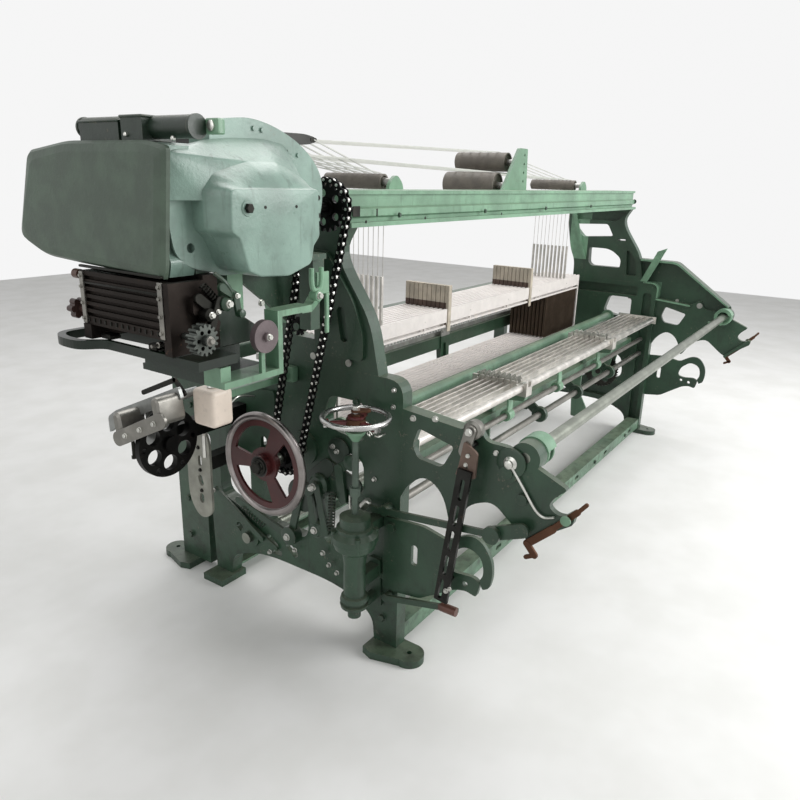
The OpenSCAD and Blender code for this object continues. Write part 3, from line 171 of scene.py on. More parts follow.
def along(path, section):
    """A section carried along a path: at each point it stands square to the way the path runs,
    and it is turned as little as possible from one point to the next."""
    ways = np.gradient(path, axis=0)
    ways /= np.linalg.norm(ways, axis=1, keepdims=True)
    start = np.array([0.0, 0.0, 1.0]) if abs(ways[0, 2]) < 0.9 else np.array([0.0, 1.0, 0.0])
    side = np.cross(ways[0], start)
    sides = []
    for way in ways:
        side = side - way * np.dot(side, way)
        side /= np.linalg.norm(side)
        sides.append(side)
    sides = np.array(sides)
    ups = np.cross(sides, ways)
    return skin_of_rings(path[:, None] + section[None, :, :1] * sides[:, None]
                         + section[None, :, 1:] * ups[:, None])


def tube(path, radius, sides):
    """A round bar or wire along a path."""
    return along(path, ring(radius, sides))


def smooth_path(points, count):
    """A curve through the given points: each stretch is a cubic whose slopes at its ends are half
    the distance between the neighbours (Catmull-Rom)."""
    p = np.array(points, float)
    p = np.concatenate([[2 * p[0] - p[1]], p, [2 * p[-1] - p[-2]]])
    t = np.linspace(0, len(p) - 3, count)
    i = np.minimum(t.astype(int), len(p) - 4)
    t = (t - i)[:, None]
    a, b, c, d = p[i], p[i + 1], p[i + 2], p[i + 3]
    square, cube = (2 * a - 5 * b + 4 * c - d) * t ** 2, (3 * b - a - 3 * c + d) * t ** 3
    return 0.5 * (2 * b + (c - a) * t + square + cube)


def copies(shape, places):
    """The same shape at several places, as one list of points and faces."""
    points, faces = shape
    n = len(points)
    spread = (points[None] + np.array(places, float)[:, None]).reshape(-1, 3)
    return spread, [[v + n * k for v in face] for k in range(len(places)) for face in faces]


def both_sides(*shapes):
    """The shapes on the left, and their mirror images on the right end of the loom."""
    return [*shapes, *[(points * [-1, 1, 1] + [SPAN, 0, 0], faces) for points, faces in shapes]]


def soft_outline(corners, steps=6):
    """A closed outline: each corner (across, up, radius) is rounded by the circle that touches its sides."""
    p = np.array([c[:2] for c in corners], float)
    out = []
    for k, corner in enumerate(corners):
        b, r = p[k], corner[2]
        u, v = p[k - 1] - b, p[(k + 1) % len(p)] - b
        u, v = u / np.linalg.norm(u), v / np.linalg.norm(v)
        half = math.acos(np.clip(np.dot(u, v), -1.0, 1.0)) / 2
        reach = r / math.tan(half)
        mid = b + (u + v) / np.linalg.norm(u + v) * r / math.sin(half)
        first, last = (math.atan2(*(b + w * reach - mid)[::-1]) for w in (u, v))
        sweep = (last - first + math.pi) % (2 * math.pi) - math.pi
        t = first + sweep * np.linspace(0, 1, steps)
        out.append(mid + r * np.stack([np.cos(t), np.sin(t)], 1))
    return np.concatenate(out)


def round_about(outline, centre, count):
    """The same outline as seen from a centre: at even angles, its distance from the centre."""
    loop = np.concatenate([outline, outline[:1]])
    length = np.concatenate([[0], np.cumsum(np.linalg.norm(np.diff(loop, axis=0), axis=1))])
    s = np.linspace(0, length[-1], 2000, endpoint=False)
    fine = np.stack([np.interp(s, length, loop[:, i]) for i in (0, 1)], 1) - centre
    angle = np.arctan2(fine[:, 1], fine[:, 0])
    order = np.argsort(angle)
    even = np.linspace(-math.pi, math.pi, count, endpoint=False)
    far = np.interp(even, angle[order], np.linalg.norm(fine, axis=1)[order], period=2 * math.pi)
    return np.stack([np.cos(even) * far, np.sin(even) * far], 1) + centre


def link(a, b, width, thick, axis="x", at=0.0, bevel=1.0):
    """A flat lever between two pivots: its outline is two half circles joined by straight sides."""
    a, b = np.array(a, float), np.array(b, float)
    way = math.atan2(*(b - a)[::-1])
    t = np.linspace(math.pi / 2, 3 * math.pi / 2, 9) + way
    end = np.stack([np.cos(t), np.sin(t)], 1) * width / 2
    outline = np.concatenate([a + end, b - end])
    if axis == "y":
        outline = outline * [-1, 1]
    return plate(outline, thick, bevel, axis, turned_axes(axis)[2] * at)


def links(width, thick, at, *pivots):
    """Flat levers square to x, from each pivot to the next one."""
    return [link(a, b, width, thick, "x", at) for a, b in zip(pivots, pivots[1:])]


def spring(a, b, radius, wire, turns):
    """A coil spring: a point runs round the line between two ends as it goes along it."""
    a, b = np.array(a, float), np.array(b, float)
    way = (b - a) / np.linalg.norm(b - a)
    side = np.cross(way, (0.3, 0.5, 0.81))
    side /= np.linalg.norm(side)
    up = np.cross(way, side)
    t = np.linspace(0, 1, int(turns * 8) + 1)[:, None]
    turn = t * turns * 2 * math.pi
    return tube(a + (b - a) * t + radius * (np.cos(turn) * side + np.sin(turn) * up), wire, 5)


def outward(points, faces):
    """The faces with their fronts outside. Six times the volume is the sum, over the faces' triangles,
    of the triple product of their corners, and where it is negative the faces are turned over."""
    tri = np.array([(f[0], f[i], f[i + 1]) for f in faces for i in range(1, len(f) - 1)])
    a, b, c = (points[tri[:, i]] - points.mean(0) for i in range(3))
    volume = np.einsum("ij,ij->i", a, np.cross(b, c)).sum()
    return [f[::-1] for f in faces] if volume < 0 else faces


def piece(name, finish, shapes, body="loom", angle=35.0):
    """One object of closed shapes, smooth where its faces meet at less than the angle."""
    points, faces, count = [], [], 0
    for part, skin in shapes:
        points.append(part)
        faces += [[v + count for v in face] for face in outward(part, skin)]
        count += len(part)
    mesh = bpy.data.meshes.new(name)
    mesh.from_pydata(((np.concatenate(points) + BENCH) * MM).tolist(), [], faces)
    mesh.polygons.foreach_set("use_smooth", np.ones(len(mesh.polygons), bool))
    mesh.update()
    mesh.set_sharp_from_angle(angle=math.radians(angle))
    made = bpy.data.objects.new(name, mesh)
    bpy.context.scene.collection.objects.link(made)
    mesh.materials.append(finish)
    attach(made, body)
    return made


def fitting(name, kind, *shapes, body="loom", angle=35.0):
    """One object of closed shapes in the finish of a kind of fitting."""
    return piece(name, fitting_finish(kind), shapes, body, angle)


# Materials


class Value:
    """A number in a material's nodes. Sums on it add Math nodes."""

    def __init__(self, finish, socket):
        self.finish, self.socket = finish, socket

    def _math(self, operation, *numbers):
        node = self.finish.node("ShaderNodeMath", {"operation": operation}, dict(enumerate(numbers)))
        return Value(self.finish, node.outputs[0])

    def __add__(self, other):
        return self._math("ADD", self, other)

    __radd__ = __add__

    def __sub__(self, other):
        return self._math("SUBTRACT", self, other)

    def __rsub__(self, other):
        return self._math("SUBTRACT", other, self)

    def __mul__(self, other):
        return self._math("MULTIPLY", self, other)

    __rmul__ = __mul__

    def root(self):
        return self._math("SQRT", self)

    def most(self, other):
        return self._math("MAXIMUM", self, other)

    def past(self, low, high):
        """0 below low, 1 above high, and smooth between them."""
        node = self.finish.node("ShaderNodeMapRange", {"interpolation_type": "SMOOTHSTEP"},
                                {"Value": self, "From Min": low, "From Max": high})
        return Value(self.finish, node.outputs[0])


def srgb(r, g, b):
    """A colour written as 0 to 255 on a screen, as the light it stands for."""
    def one(c):
        c /= 255.0
        return c / 12.92 if c <= 0.04045 else ((c + 0.055) / 1.055) ** 2.4
    return (one(r), one(g), one(b), 1.0)


def scale_colour(colour, by):
    """A darker or lighter colour: each part times the factor, and at most 1."""
    return tuple(min(1.0, c * by) for c in colour[:3]) + (1.0,)


STEEL = srgb(168, 168, 164)
OILY = srgb(52, 52, 50)
CREAM = srgb(190, 180, 164)
DUST = srgb(128, 130, 112)
STREAK = srgb(26, 30, 24)
OIL = srgb(24, 24, 18)
BARE = srgb(118, 112, 98)
RUST = srgb(96, 66, 44)
GRIME = srgb(60, 52, 40)
GUIDE_BROWN = srgb(84, 66, 58)
WIRE = srgb(204, 200, 194)

MASK_EDGE = 0.4     # mm on each side of a mask's edge, over which it fades
INSIDE = -9         # an inner distance that keeps a barrel's middle


class Finish:
    """One material: a Principled surface whose colour, gloss and relief are worked out from the place."""

    def __init__(self, name):
        self.material = bpy.data.materials.new(name)
        self.material.use_nodes = True
        self.tree = self.material.node_tree
        self.tree.nodes.clear()
        self.surface = self.node("ShaderNodeBsdfPrincipled", {}, {})
        self.node("ShaderNodeOutputMaterial", {}, {0: self.surface.outputs[0]})
        self.place = self.node("ShaderNodeTexCoord", {}, {}).outputs["Object"]
        split = self.node("ShaderNodeSeparateXYZ", {}, {0: self.place})
        self.axes = [Value(self, split.outputs[i]) for i in range(3)]

    def node(self, kind, settings, sockets):
        """A node with its settings and with the values or links of its sockets."""
        node = self.tree.nodes.new(kind)
        for key, value in settings.items():
            setattr(node, key, value)
        for key, value in sockets.items():
            self.feed(node.inputs[key], value)
        return node

    def feed(self, socket, value):
        if isinstance(value, Value):
            value = value.socket
        if isinstance(value, bpy.types.NodeSocket):
            self.tree.links.new(value, socket)
        else:
            socket.default_value = value

    def noise(self, scale, detail=3.0, rough=0.55, stretch=None):
        """Cloudy values about 0.5. The place is multiplied by stretch, so a small number draws them out."""
        vector = self.place
        if stretch:
            vector = self.node("ShaderNodeMapping", {}, {"Vector": vector, "Scale": stretch}).outputs[0]
        node = self.node("ShaderNodeTexNoise", {}, {"Vector": vector, "Scale": scale, "Detail": detail,
                                                    "Roughness": rough})
        return Value(self, node.outputs[0])

    def facing_up(self):
        """1 on surfaces that face upwards."""
        normal = self.node("ShaderNodeNewGeometry", {}, {}).outputs["Normal"]
        split = self.node("ShaderNodeSeparateXYZ", {}, {0: normal})
        return Value(self, split.outputs[2])

    def worn_edges(self, radius):
        """1 on edges: the surface's normal is compared with one that is smoothed over the radius."""
        normal = self.node("ShaderNodeNewGeometry", {}, {}).outputs["Normal"]
        soft = self.node("ShaderNodeBevel", {"samples": 4}, {"Radius": radius}).outputs[0]
        dot = self.node("ShaderNodeVectorMath", {"operation": "DOT_PRODUCT"}, {0: normal, 1: soft})
        return (1.0 - Value(self, dot.outputs["Value"])).past(0.02, 0.16)

    def block(self, **edges):
        """1 inside a block on the bench. x, y and z take (low, high), where None leaves a side open."""
        mask = None
        for value, axis, shift in zip(self.axes, "xyz", BENCH):
            for end, edge in enumerate(edges.get(axis, ())):
                if edge is None:
                    continue
                past = value.past((edge + shift - MASK_EDGE) * MM, (edge + shift + MASK_EDGE) * MM)
                part = 1.0 - past if end else past
                mask = part if mask is None else mask * part
        return mask

    def barrel(self, axis, centre, inner, outer):
        """1 between two distances from a line along the axis, through a place on the bench."""
        across = [i for i in range(3) if "xyz"[i] != axis]
        u, v = (self.axes[i] - (c + BENCH[i]) * MM for i, c in zip(across, centre))
        far = (u * u + v * v).root()
        outside = far.past((inner - MASK_EDGE) * MM, (inner + MASK_EDGE) * MM)
        return outside * (1.0 - far.past((outer - MASK_EDGE) * MM, (outer + MASK_EDGE) * MM))

    def mix(self, factor, a, b):
        """The colour a where factor is 0, and b where it is 1."""
        node = self.node("ShaderNodeMix", {"data_type": "RGBA"}, {"Factor": factor, 6: a, 7: b})
        return node.outputs[2]

    def relief(self, height, distance):
        """Bumps up to the distance in metres where the height goes from 0 to 1."""
        node = self.node("ShaderNodeBump", {}, {"Height": height, "Distance": distance, "Strength": 1.0})
        self.feed(self.surface.inputs["Normal"], node.outputs[0])

    def give(self, **values):
        """Sets the surface's sockets; a lower line in a name stands for a space."""
        for key, value in values.items():
            self.feed(self.surface.inputs[key.replace("_", " ")], value)
        return self.material


def dress(f, base, rough, metal, areas):
    """Lays other finishes over parts of a surface. areas is called with the finish, and gives
    a list of (mask, colour, metallic, roughness)."""
    if areas is None:
        return base, rough, metal
    tone = f.noise(16.0, 4.0)
    for mask, colour, metallic, roughness in areas(f):
        shade = f.mix(tone.past(0.35, 0.7), scale_colour(colour, 0.80), scale_colour(colour, 1.15))
        base = f.mix(mask, base, shade)
        metal = metal * (1.0 - mask) + mask * metallic
        rough = rough * (1.0 - mask) + mask * (roughness + tone * 0.12)
    return base, rough, metal


def enamel(name, colour, gloss=0.32, dust=0.35, grain=0.0006, wear=0.5, areas=None):
    """Brushed enamel on rough castings: cloudy colour, dust on what faces up, oil low down, chipped edges."""
    f = Finish(name)
    cloud = f.noise(5.0, 4.0)
    patch = f.noise(23.0, 5.0, 0.65)
    fine = f.noise(420.0, 3.0, 0.6)
    drip = f.noise(40.0, 3.0, 0.6, (1.0, 1.0, 0.12))
    base = f.mix(cloud.past(0.35, 0.68), scale_colour(colour, 0.78), scale_colour(colour, 1.22))
    base = f.mix(patch.past(0.5, 0.75) * 0.45, base, scale_colour(colour, 0.55))
    base = f.mix(f.facing_up().past(0.55, 0.95) * cloud.past(0.2, 0.7) * dust, base, DUST)
    base = f.mix(drip.past(0.58, 0.72) * 0.28, base, STREAK)
    oil = (1.0 - f.axes[2].past(0.05, 0.42)) * patch.past(0.42, 0.7)
    base = f.mix(oil * 0.55, base, OIL)
    chips = f.noise(95.0, 4.0, 0.7).past(0.60, 0.64) * f.noise(9.0, 2.0).past(0.55, 0.62) * wear
    edge = f.worn_edges(0.0035) * f.noise(60.0, 4.0, 0.7).past(0.50, 0.60)
    chips = chips.most(edge * wear)
    base = f.mix(chips, base, BARE)
    rough = gloss + patch * 0.22 + cloud.past(0.5, 0.8) * 0.10 + chips * 0.15
    base, rough, metal = dress(f, base, rough, chips * 0.35, areas)
    f.relief(fine * 0.5 + f.noise(120.0, 2.0) * 0.9 - chips * 0.5, grain)
    return f.give(Base_Color=base, Roughness=rough, Metallic=metal, Coat_Weight=(1.0 - chips) * 0.25,
                  Coat_Roughness=0.22, IOR=1.5)


def bare_metal(name, colour, gloss=0.25, rust=0.3, brushed=None, areas=None):
    """Bright or dark bare metal: fine scratches, greasy clouds and rust freckles."""
    f = Finish(name)
    cloud = f.noise(14.0, 4.0)
    fine = f.noise(300.0, 3.0, 0.6, brushed)
    rusty = f.noise(55.0, 5.0, 0.75).past(0.60, 0.72) * f.noise(7.0, 2.0).past(0.42, 0.65)
    base = f.mix(cloud.past(0.4, 0.7), scale_colour(colour, 0.8), scale_colour(colour, 1.1))
    base = f.mix(fine.past(0.5, 0.8) * 0.3, base, scale_colour(colour, 0.6))
    base = f.mix(rusty * rust, base, RUST)
    rough = gloss + fine * 0.12 + cloud * 0.10 + rusty * rust * 0.5
    base, rough, metal = dress(f, base, rough, 1.0 - rusty * rust, areas)
    f.relief(fine * 0.6 + rusty * 0.8, 0.0002)
    return f.give(Base_Color=base, Roughness=rough, Metallic=metal)


def moulded(name, colour, gloss=0.45, shade=0.12, grime=0.3, areas=None):
    """Moulded plastic or cast resin: slightly uneven, with grime in patches."""
    f = Finish(name)
    cloud = f.noise(18.0, 4.0)
    fine = f.noise(260.0, 2.0)
    base = f.mix(cloud.past(0.35, 0.7), scale_colour(colour, 1.0 - shade), scale_colour(colour, 1.0 + shade))
    base = f.mix(f.noise(42.0, 5.0, 0.7).past(0.52, 0.75) * grime, base, GRIME)
    base, rough, metal = dress(f, base, gloss + cloud * 0.2, fine * 0.0, areas)
    f.relief(fine, 0.00015)
    return f.give(Base_Color=base, Roughness=rough, Metallic=metal)


# Each kind of fitting: the record's slot, the finish, its colour or the setting that holds it,
# the factor on that colour, and the finish's own settings
FITTINGS = {
    "green": ("green_paint", enamel, "frame_green", 0.9, {"grain": 0.0003}),
    # deep is frame green at 0.42: a dark paint that also stands for painted shade on parts set in shadow,
    # such as the cams outside the left frame and the web behind the reader.
    "deep": ("green_paint", enamel, "frame_green", 0.42, {"grain": 0.0003, "wear": 0.7}),
    "pale": ("pale_green_paint", enamel, "beam_green", 1.0, {"grain": 0.0003, "wear": 0.3}),
    "cover": ("pale_green_paint", enamel, "cover_green", 1.0,
              {"gloss": 0.2, "dust": 0.15, "grain": 0.0007, "wear": 0.1}),
    "bright": ("bright_steel", bare_metal, srgb(212, 212, 206), 1.0, {"gloss": 0.2, "rust": 0.15}),
    "grey": ("bright_steel", bare_metal, srgb(146, 144, 138), 1.0, {"gloss": 0.34, "rust": 0.3}),
    "dark": ("dark_steel", bare_metal, srgb(50, 50, 47), 1.0, {"gloss": 0.34, "rust": 0.5}),
    "brown": ("dark_steel", bare_metal, srgb(96, 70, 56), 1.0, {"gloss": 0.45, "rust": 0.8}),
    "strip": ("dark_steel", bare_metal, srgb(104, 90, 78), 1.0, {"gloss": 0.4, "rust": 0.5}),
    "cream": ("white_plastic", moulded, CREAM, 1.0, {"gloss": 0.5, "shade": 0.06, "grime": 0.3}),
}


def fitting_finish(kind):
    """The finish of a kind of fitting, made when it is first asked for."""
    name = "fitting_" + kind
    finish, colour, factor, settings = FITTINGS[kind][1:]
    if isinstance(colour, str):
        colour = getattr(bpy.context.scene.loom_colours, colour)
    return bpy.data.materials.get(name) or finish(name, scale_colour(colour, factor), **settings)


# Settings


def paint_setting(name, description, default):
    """A colour that the user can set."""
    return FloatVectorProperty(name=name, description=description, subtype="COLOR",
                               size=4, min=0.0, max=1.0, default=default)


class LoomColours(bpy.types.PropertyGroup):
    """Colours of the loom's finishes."""

    frame_green: paint_setting("Frame green", "Enamel of the side frames and brackets", srgb(38, 66, 47))
    beam_green: paint_setting("Beam green", "Enamel of the top beam, rails and channels", srgb(112, 150, 122))
    # The end panel's colour is a dull enamel. It is darkened to also stand for painted shade on that side,
    # which faces away from the light.
    shaded_panel_green: paint_setting("Panel green", "Dull enamel of the dobby's end panel", srgb(68, 84, 70))
    cover_green: paint_setting("Cover green", "Enamel of the dobby's cover and hood", srgb(122, 148, 136))
    wheel_red: paint_setting("Wheel red", "Paint inside the hand wheels", srgb(70, 26, 26))


class LoomStage(bpy.types.PropertyGroup):
    """Camera and lights."""

    lens: FloatProperty(
        name="Lens", description="Focal length on a 36 mm wide sensor", default=31.5, min=10.0, max=200.0)
    eye_height: FloatProperty(
        name="Eye height", description="Height of the camera over the floor", unit="LENGTH",
        subtype="DISTANCE", default=1.6, min=0.2, max=4.0)
    key_power: FloatProperty(
        name="Key light", description="Power of the large soft lamp at the loom's rear", unit="POWER",
        default=300.0, min=0.0)
    fill_power: FloatProperty(
        name="Fill light", description="Power of the soft lamp on the camera's side", unit="POWER",
        default=40.0, min=0.0)
    world_level: FloatProperty(
        name="Room level", description="Strength of the even light from all round", default=0.46,
        min=0.0, max=2.0)


# Finishes of the CAD nodes


def coat(material, *names):
    """Gives a material to every slot of the named CAD nodes."""
    for name in names:
        slots = NODES[name].data.materials
        if len(slots) == 0:
            slots.append(material)
        for i in range(len(slots)):
            slots[i] = material


def both_ends(low, high):
    """A stretch of x at the left end of the loom, and its mirror image at the right end."""
    return (low, high), (SPAN - high, SPAN - low)


class LOOM_OT_paint(bpy.types.Operator):
    """Paints and plates the loom's castings, shafts, wheels and healds"""

    bl_idname = "loom.paint"
    bl_label = "Paint the castings"

    def execute(self, context):
        c = context.scene.loom_colours
        green, pale, cover = tuple(c.frame_green), tuple(c.beam_green), tuple(c.cover_green)
        red = tuple(c.wheel_red)
        self.castings(green, pale)
        self.dobby(green, pale, cover, tuple(c.shaded_panel_green))
        self.wheels(red)
        self.bars(green)
        self.shed(pale)
        return {"FINISHED"}

    @staticmethod
    def castings(green, pale):
        coat(enamel("frame_enamel", green), "left_side_frame", "right_side_frame", "breast_beam",
             "beam_hooks", "letoff_gearbox")
        coat(enamel("beam_enamel", pale, gloss=0.34, dust=0.4, wear=0.3), "top_beam")
        coat(enamel("rail_enamel", scale_colour(pale, 0.62), gloss=0.36, dust=0.5), "floor_channels",
             "back_rail", "stop_stand")
        coat(enamel("arch_enamel", green, areas=lambda f: [
            (f.block(y=(482, 606), z=(1118, 1412)) * f.barrel("x", (586, 1410), 0, 330), pale, 0.0, 0.35),
            (f.block(x=(None, -1), z=(1008, 1046)), STEEL, 0.9, 0.3)]), "left_arch", "right_arch")
        coat(enamel("rear_bracket_enamel", green, areas=lambda f: [
            *[(f.block(x=cap), pale, 0.0, 0.35) for cap in both_ends(50, 114)],
            (f.barrel("x", (-262, 892), 0, 17), STEEL, 0.9, 0.3)]), "left_rear_bracket", "right_rear_bracket")
        coat(enamel("casing_enamel", green, areas=lambda f: [
            (f.block(x=(2850, 2861)), pale, 0.0, 0.35),
            (f.block(x=(2866, 2920), y=(-13, 95), z=(913, 1011)), pale, 0.0, 0.35)]), "right_casing")
        coat(enamel("lever_enamel", scale_colour(green, 0.8), areas=lambda f: [
            (f.block(x=(None, -20), y=(None, -180), z=(None, 320)), srgb(92, 58, 46), 0.3, 0.4)]),
            "letoff_levers")
        coat(bare_metal("slotted_bar_steel", OILY, 0.34, 0.6, areas=lambda f: [
            (f.block(x=(-53, -40), y=(-300, -220), z=(764, 884)), srgb(112, 94, 84), 0.4, 0.5)]),
            "slotted_bar")
        coat(enamel("sley_enamel", green, areas=lambda f: [
            (f.block(z=(801, None)), STEEL, 0.85, 0.4)]), "sley")

    @staticmethod
    def dobby(green, pale, cover, panel):
        # The end panel, below x = -727.5, takes the panel colour: dull enamel darkened as painted shade on
        # the side facing away from the light.
        coat(enamel("case_enamel", cover, gloss=0.22, dust=0.2, grain=0.0009, wear=0.2, areas=lambda f: [
            (f.block(x=(None, -727.5)), panel, 0.0, 0.5)]), "dobby_case")
        coat(enamel("cover_enamel", cover, gloss=0.24, dust=0.2, grain=0.0008, wear=0.2, areas=lambda f: [
            (f.barrel("y", (-580, 1526), 0, 13.5) * f.block(y=(None, 66)), OILY, 0.7, 0.35),
            *[(f.barrel("y", (-322, z), 0, 6), OILY, 0.5, 0.4) for z in (1499, 1548)]]),
            "dobby_cover", "dobby_hood")
        coat(enamel("top_box_enamel", scale_colour(green, 0.32), gloss=0.36, dust=0.3), "dobby_top_boxes")
        coat(enamel("jack_enamel", scale_colour(green, 0.7), areas=lambda f: [
            (f.block(z=(1600, None)), OILY, 0.8, 0.35)]), "jack_levers")
        # The bracket's rear lower part (x below -480, y beyond 120, z below 1262) is frame green at 0.35:
        # painted shade where it sits in shadow behind the dobby.
        coat(enamel("dobby_bracket_enamel", pale, gloss=0.3, areas=lambda f: [
            (f.barrel("y", (-545, 1228), 0, 41) * f.block(y=(None, 53)), srgb(104, 92, 94), 0.3, 0.45),
            (f.block(x=(None, -480), y=(120, None), z=(None, 1262)), scale_colour(green, 0.35), 0.2, 0.45)]),
            "dobby_bracket")
        coat(enamel("dobby_stand_enamel", green, areas=lambda f: [
            (f.block(x=(-560, -504), y=(148, 196), z=(1258, 1380)), pale, 0.0, 0.35)]), "dobby_stand")
        # The shelf below z = 1201 is frame green at 0.22: dark green paint, darkened further as painted
        # shade.
        coat(bare_metal("reader_steel", srgb(50, 45, 42), 0.42, 0.8, areas=lambda f: [
            (f.block(z=(None, 1201)), scale_colour(green, 0.22), 0.1, 0.3)]), "reader_box")
        coat(bare_metal("card_gear_steel", srgb(92, 96, 92), 0.32, 0.3), "card_gear")
        coat(moulded("brown_knob", srgb(84, 58, 48), 0.28), "reader_knob")
        coat(moulded("red_brown_knob", srgb(62, 44, 40), 0.3), "reader_handle")

    @staticmethod
    def wheels(red):
        coat(bare_metal("shaft_steel", srgb(148, 152, 142), 0.26, 0.4), "whip_roller", "main_shaft",
             "rocking_shaft", "take_up_roller")
        coat(bare_metal("chain_steel", srgb(34, 34, 34), 0.36, 0.35), "chain", "drive_sprocket",
             "idler_sprocket", "dobby_sprocket")
        coat(bare_metal("ratchet_steel", srgb(58, 58, 54), 0.4, 0.6), "ratchet_wheel")
        coat(bare_metal("rapier_wheel_steel", srgb(40, 40, 39), 0.34, 0.4), "rapier_wheel")
        coat(bare_metal("hand_wheel_steel", srgb(150, 144, 142), 0.2, 0.3, areas=lambda f: [
            (f.barrel("x", MAIN_SHAFT, 36, 154), red, 0.1, 0.3),
            (f.barrel("x", MAIN_SHAFT, INSIDE, 36), OILY, 0.7, 0.35)]), "hand_wheel")
        coat(bare_metal("letoff_wheel_steel", srgb(196, 196, 194), 0.16, 0.25, areas=lambda f: [
            (f.block(z=(864, 912)) * f.barrel("z", LETOFF, INSIDE, 92), scale_colour(red, 1.6), 0.05, 0.35),
            (f.block(z=(None, 864)), srgb(84, 98, 88), 0.5, 0.35)]), "letoff_wheel")

    @staticmethod
    def bars(green):
        coat(bare_metal("rapier_stand_steel", srgb(44, 44, 42), 0.36, 0.45, areas=lambda f: [
            (f.block(x=(-14.5, 1)), green, 0.0, 0.4),
            (f.block(x=(-441, -359), y=(505, 893), z=(755, 987)), srgb(150, 152, 150), 0.7, 0.35),
            (f.block(x=(-161, -149), y=(729, 856), z=(349, 731)), srgb(150, 150, 140), 0.2, 0.5)]),
            "rapier_stand")
        coat(bare_metal("stop_bar_steel", srgb(226, 222, 216), 0.3, 0.1, (0.05, 1.0, 1.0), areas=lambda f: [
            (f.block(x=end), green, 0.0, 0.35) for end in both_ends(51, 66.5)]), "stop_bars")
        coat(bare_metal("comb_steel", srgb(216, 212, 206), 0.34, 0.15), "stop_combs")

    @staticmethod
    def shed(pale):
        coat(moulded("heald_aluminium", srgb(228, 222, 218), 0.3, 0.04, 0.06, areas=lambda f: [
            *[(f.block(x=(post + 7, post + 34), z=(974, 1142)), CREAM, 0.0, 0.5) for post in HEALD_GUIDES],
            *[(f.block(x=(post, post + 41), y=(458, None), z=(1020, 1062)), GUIDE_BROWN, 0.0, 0.6)
              for post in HEALD_GUIDES],
            (f.block(x=(2179, 2651), z=(710, 950)), srgb(70, 58, 48), 0.5, 0.5),
            *[(f.block(x=wire, z=(1036, None)), WIRE, 0.45, 0.35) for wire in ((498, 516), (2427, 2443))]]),
            *[n for n in NODES if n.startswith("heald_")])
        coat(moulded("cable_sheath", srgb(206, 206, 200), 0.45, 0.05, 0.15), "harness_cables")
        coat(moulded("drum_resin", srgb(112, 106, 98), 0.5, 0.15, 0.4), "left_drum", "centre_drum",
             "upper_drum", "right_drum")
        coat(enamel("drum_bracket_enamel", pale, areas=lambda f: [
            (f.block(y=(392, None)), STEEL, 0.9, 0.3)]), "drum_brackets")


# Pieces


class LOOM_OT_cover(bpy.types.Operator):
    """The dobby's pressed front cover, with its hinge plate and bolt"""

    bl_idname = "loom.cover"
    bl_label = "Dobby cover"

    def execute(self, context):
        front = soft_outline([(-629, 1476, 16), (-627, 1567, 14), (-334, 1567, 10), (-330, 1452, 16),
                              (-352, 1430, 12), (-362, 1386, 20), (-446, 1362, 60), (-542, 1369, 30),
                              (-578, 1384, 10), (-606, 1462, 16)])
        base = soft_outline([(-655, 1476, 20), (-655, 1562, 24), (-622, 1598, 30), (-574, 1613, 40),
                             (-515, 1627, 50), (-426, 1628, 60), (-374, 1612, 40), (-330, 1592, 8),
                             (-330, 1452, 16), (-352, 1430, 12), (-362, 1386, 20), (-446, 1362, 60),
                             (-542, 1369, 30), (-590, 1384, 16), (-630, 1462, 20)])
        front, base = (round_about(outline, COVER_MIDDLE, 240) for outline in (front, base))
        pressing = fitting("dobby_cover_pressing", "cover", self.dome(front, base),
                           plate(rounded(19, 72, 3), 5, 1, "y", (-322.5, 64, 1524)), angle=60.0)
        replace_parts(pressing, "dobby_cover")
        fitting("cover_bolt_washer", "cover",
                turned([(19, 0), (19, 2), (17, 4), (17, 5)], 28, "-y", (-580, 51, 1526)))
        fitting("cover_bolts", "dark", hexagon(20, 9, "-y", (-580, 46, 1526)),
                *bolts("-y", (-525, 51, 1527, 7, 3), (-420, 51, 1527, 7, 3)),
                *[turned([(6.5, 0), (6.5, 3), (4, 5)], 14, "-y", (-322.5, 64, z)) for z in (1503, 1546)])
        return {"FINISHED"}

    @staticmethod
    def dome(front, base):
        """Rings run from the base outline to the front one. They first go straight and then round a soft
        edge, and the front swells by 3 mm towards its middle."""
        flank, edge, swell, inset = 56.0, 4.0, 3.0, 0.045

        def rings(outlines, y):
            deep = np.broadcast_to(y, outlines.shape[:2] + (1,))
            return np.concatenate([outlines[..., :1], deep, outlines[..., 1:]], 2)

        t = np.linspace(0, 1, 12)[:, None, None]
        towards = 0.62 * t + 0.38 * (1 - np.cos(t * math.pi / 2))
        depth = 0.62 * t + 0.38 * np.sin(t * math.pi / 2)
        sides = rings(base * (1 - towards) + front * towards, COVER_BACK - flank * depth)
        soft = np.linspace(0, math.pi / 2, 7)[1:, None, None]
        bend = rings(front + (COVER_MIDDLE - front) * inset * (1 - np.cos(soft)),
                     COVER_BACK - flank - edge * np.sin(soft))
        share = np.linspace(1, 0.02, 8)[1:, None, None]
        face = rings(COVER_MIDDLE + (front - COVER_MIDDLE) * (1 - inset) * share,
                     COVER_BACK - flank - edge - swell * (1 - share ** 2))
        return skin_of_rings(np.concatenate([sides, bend, face]))


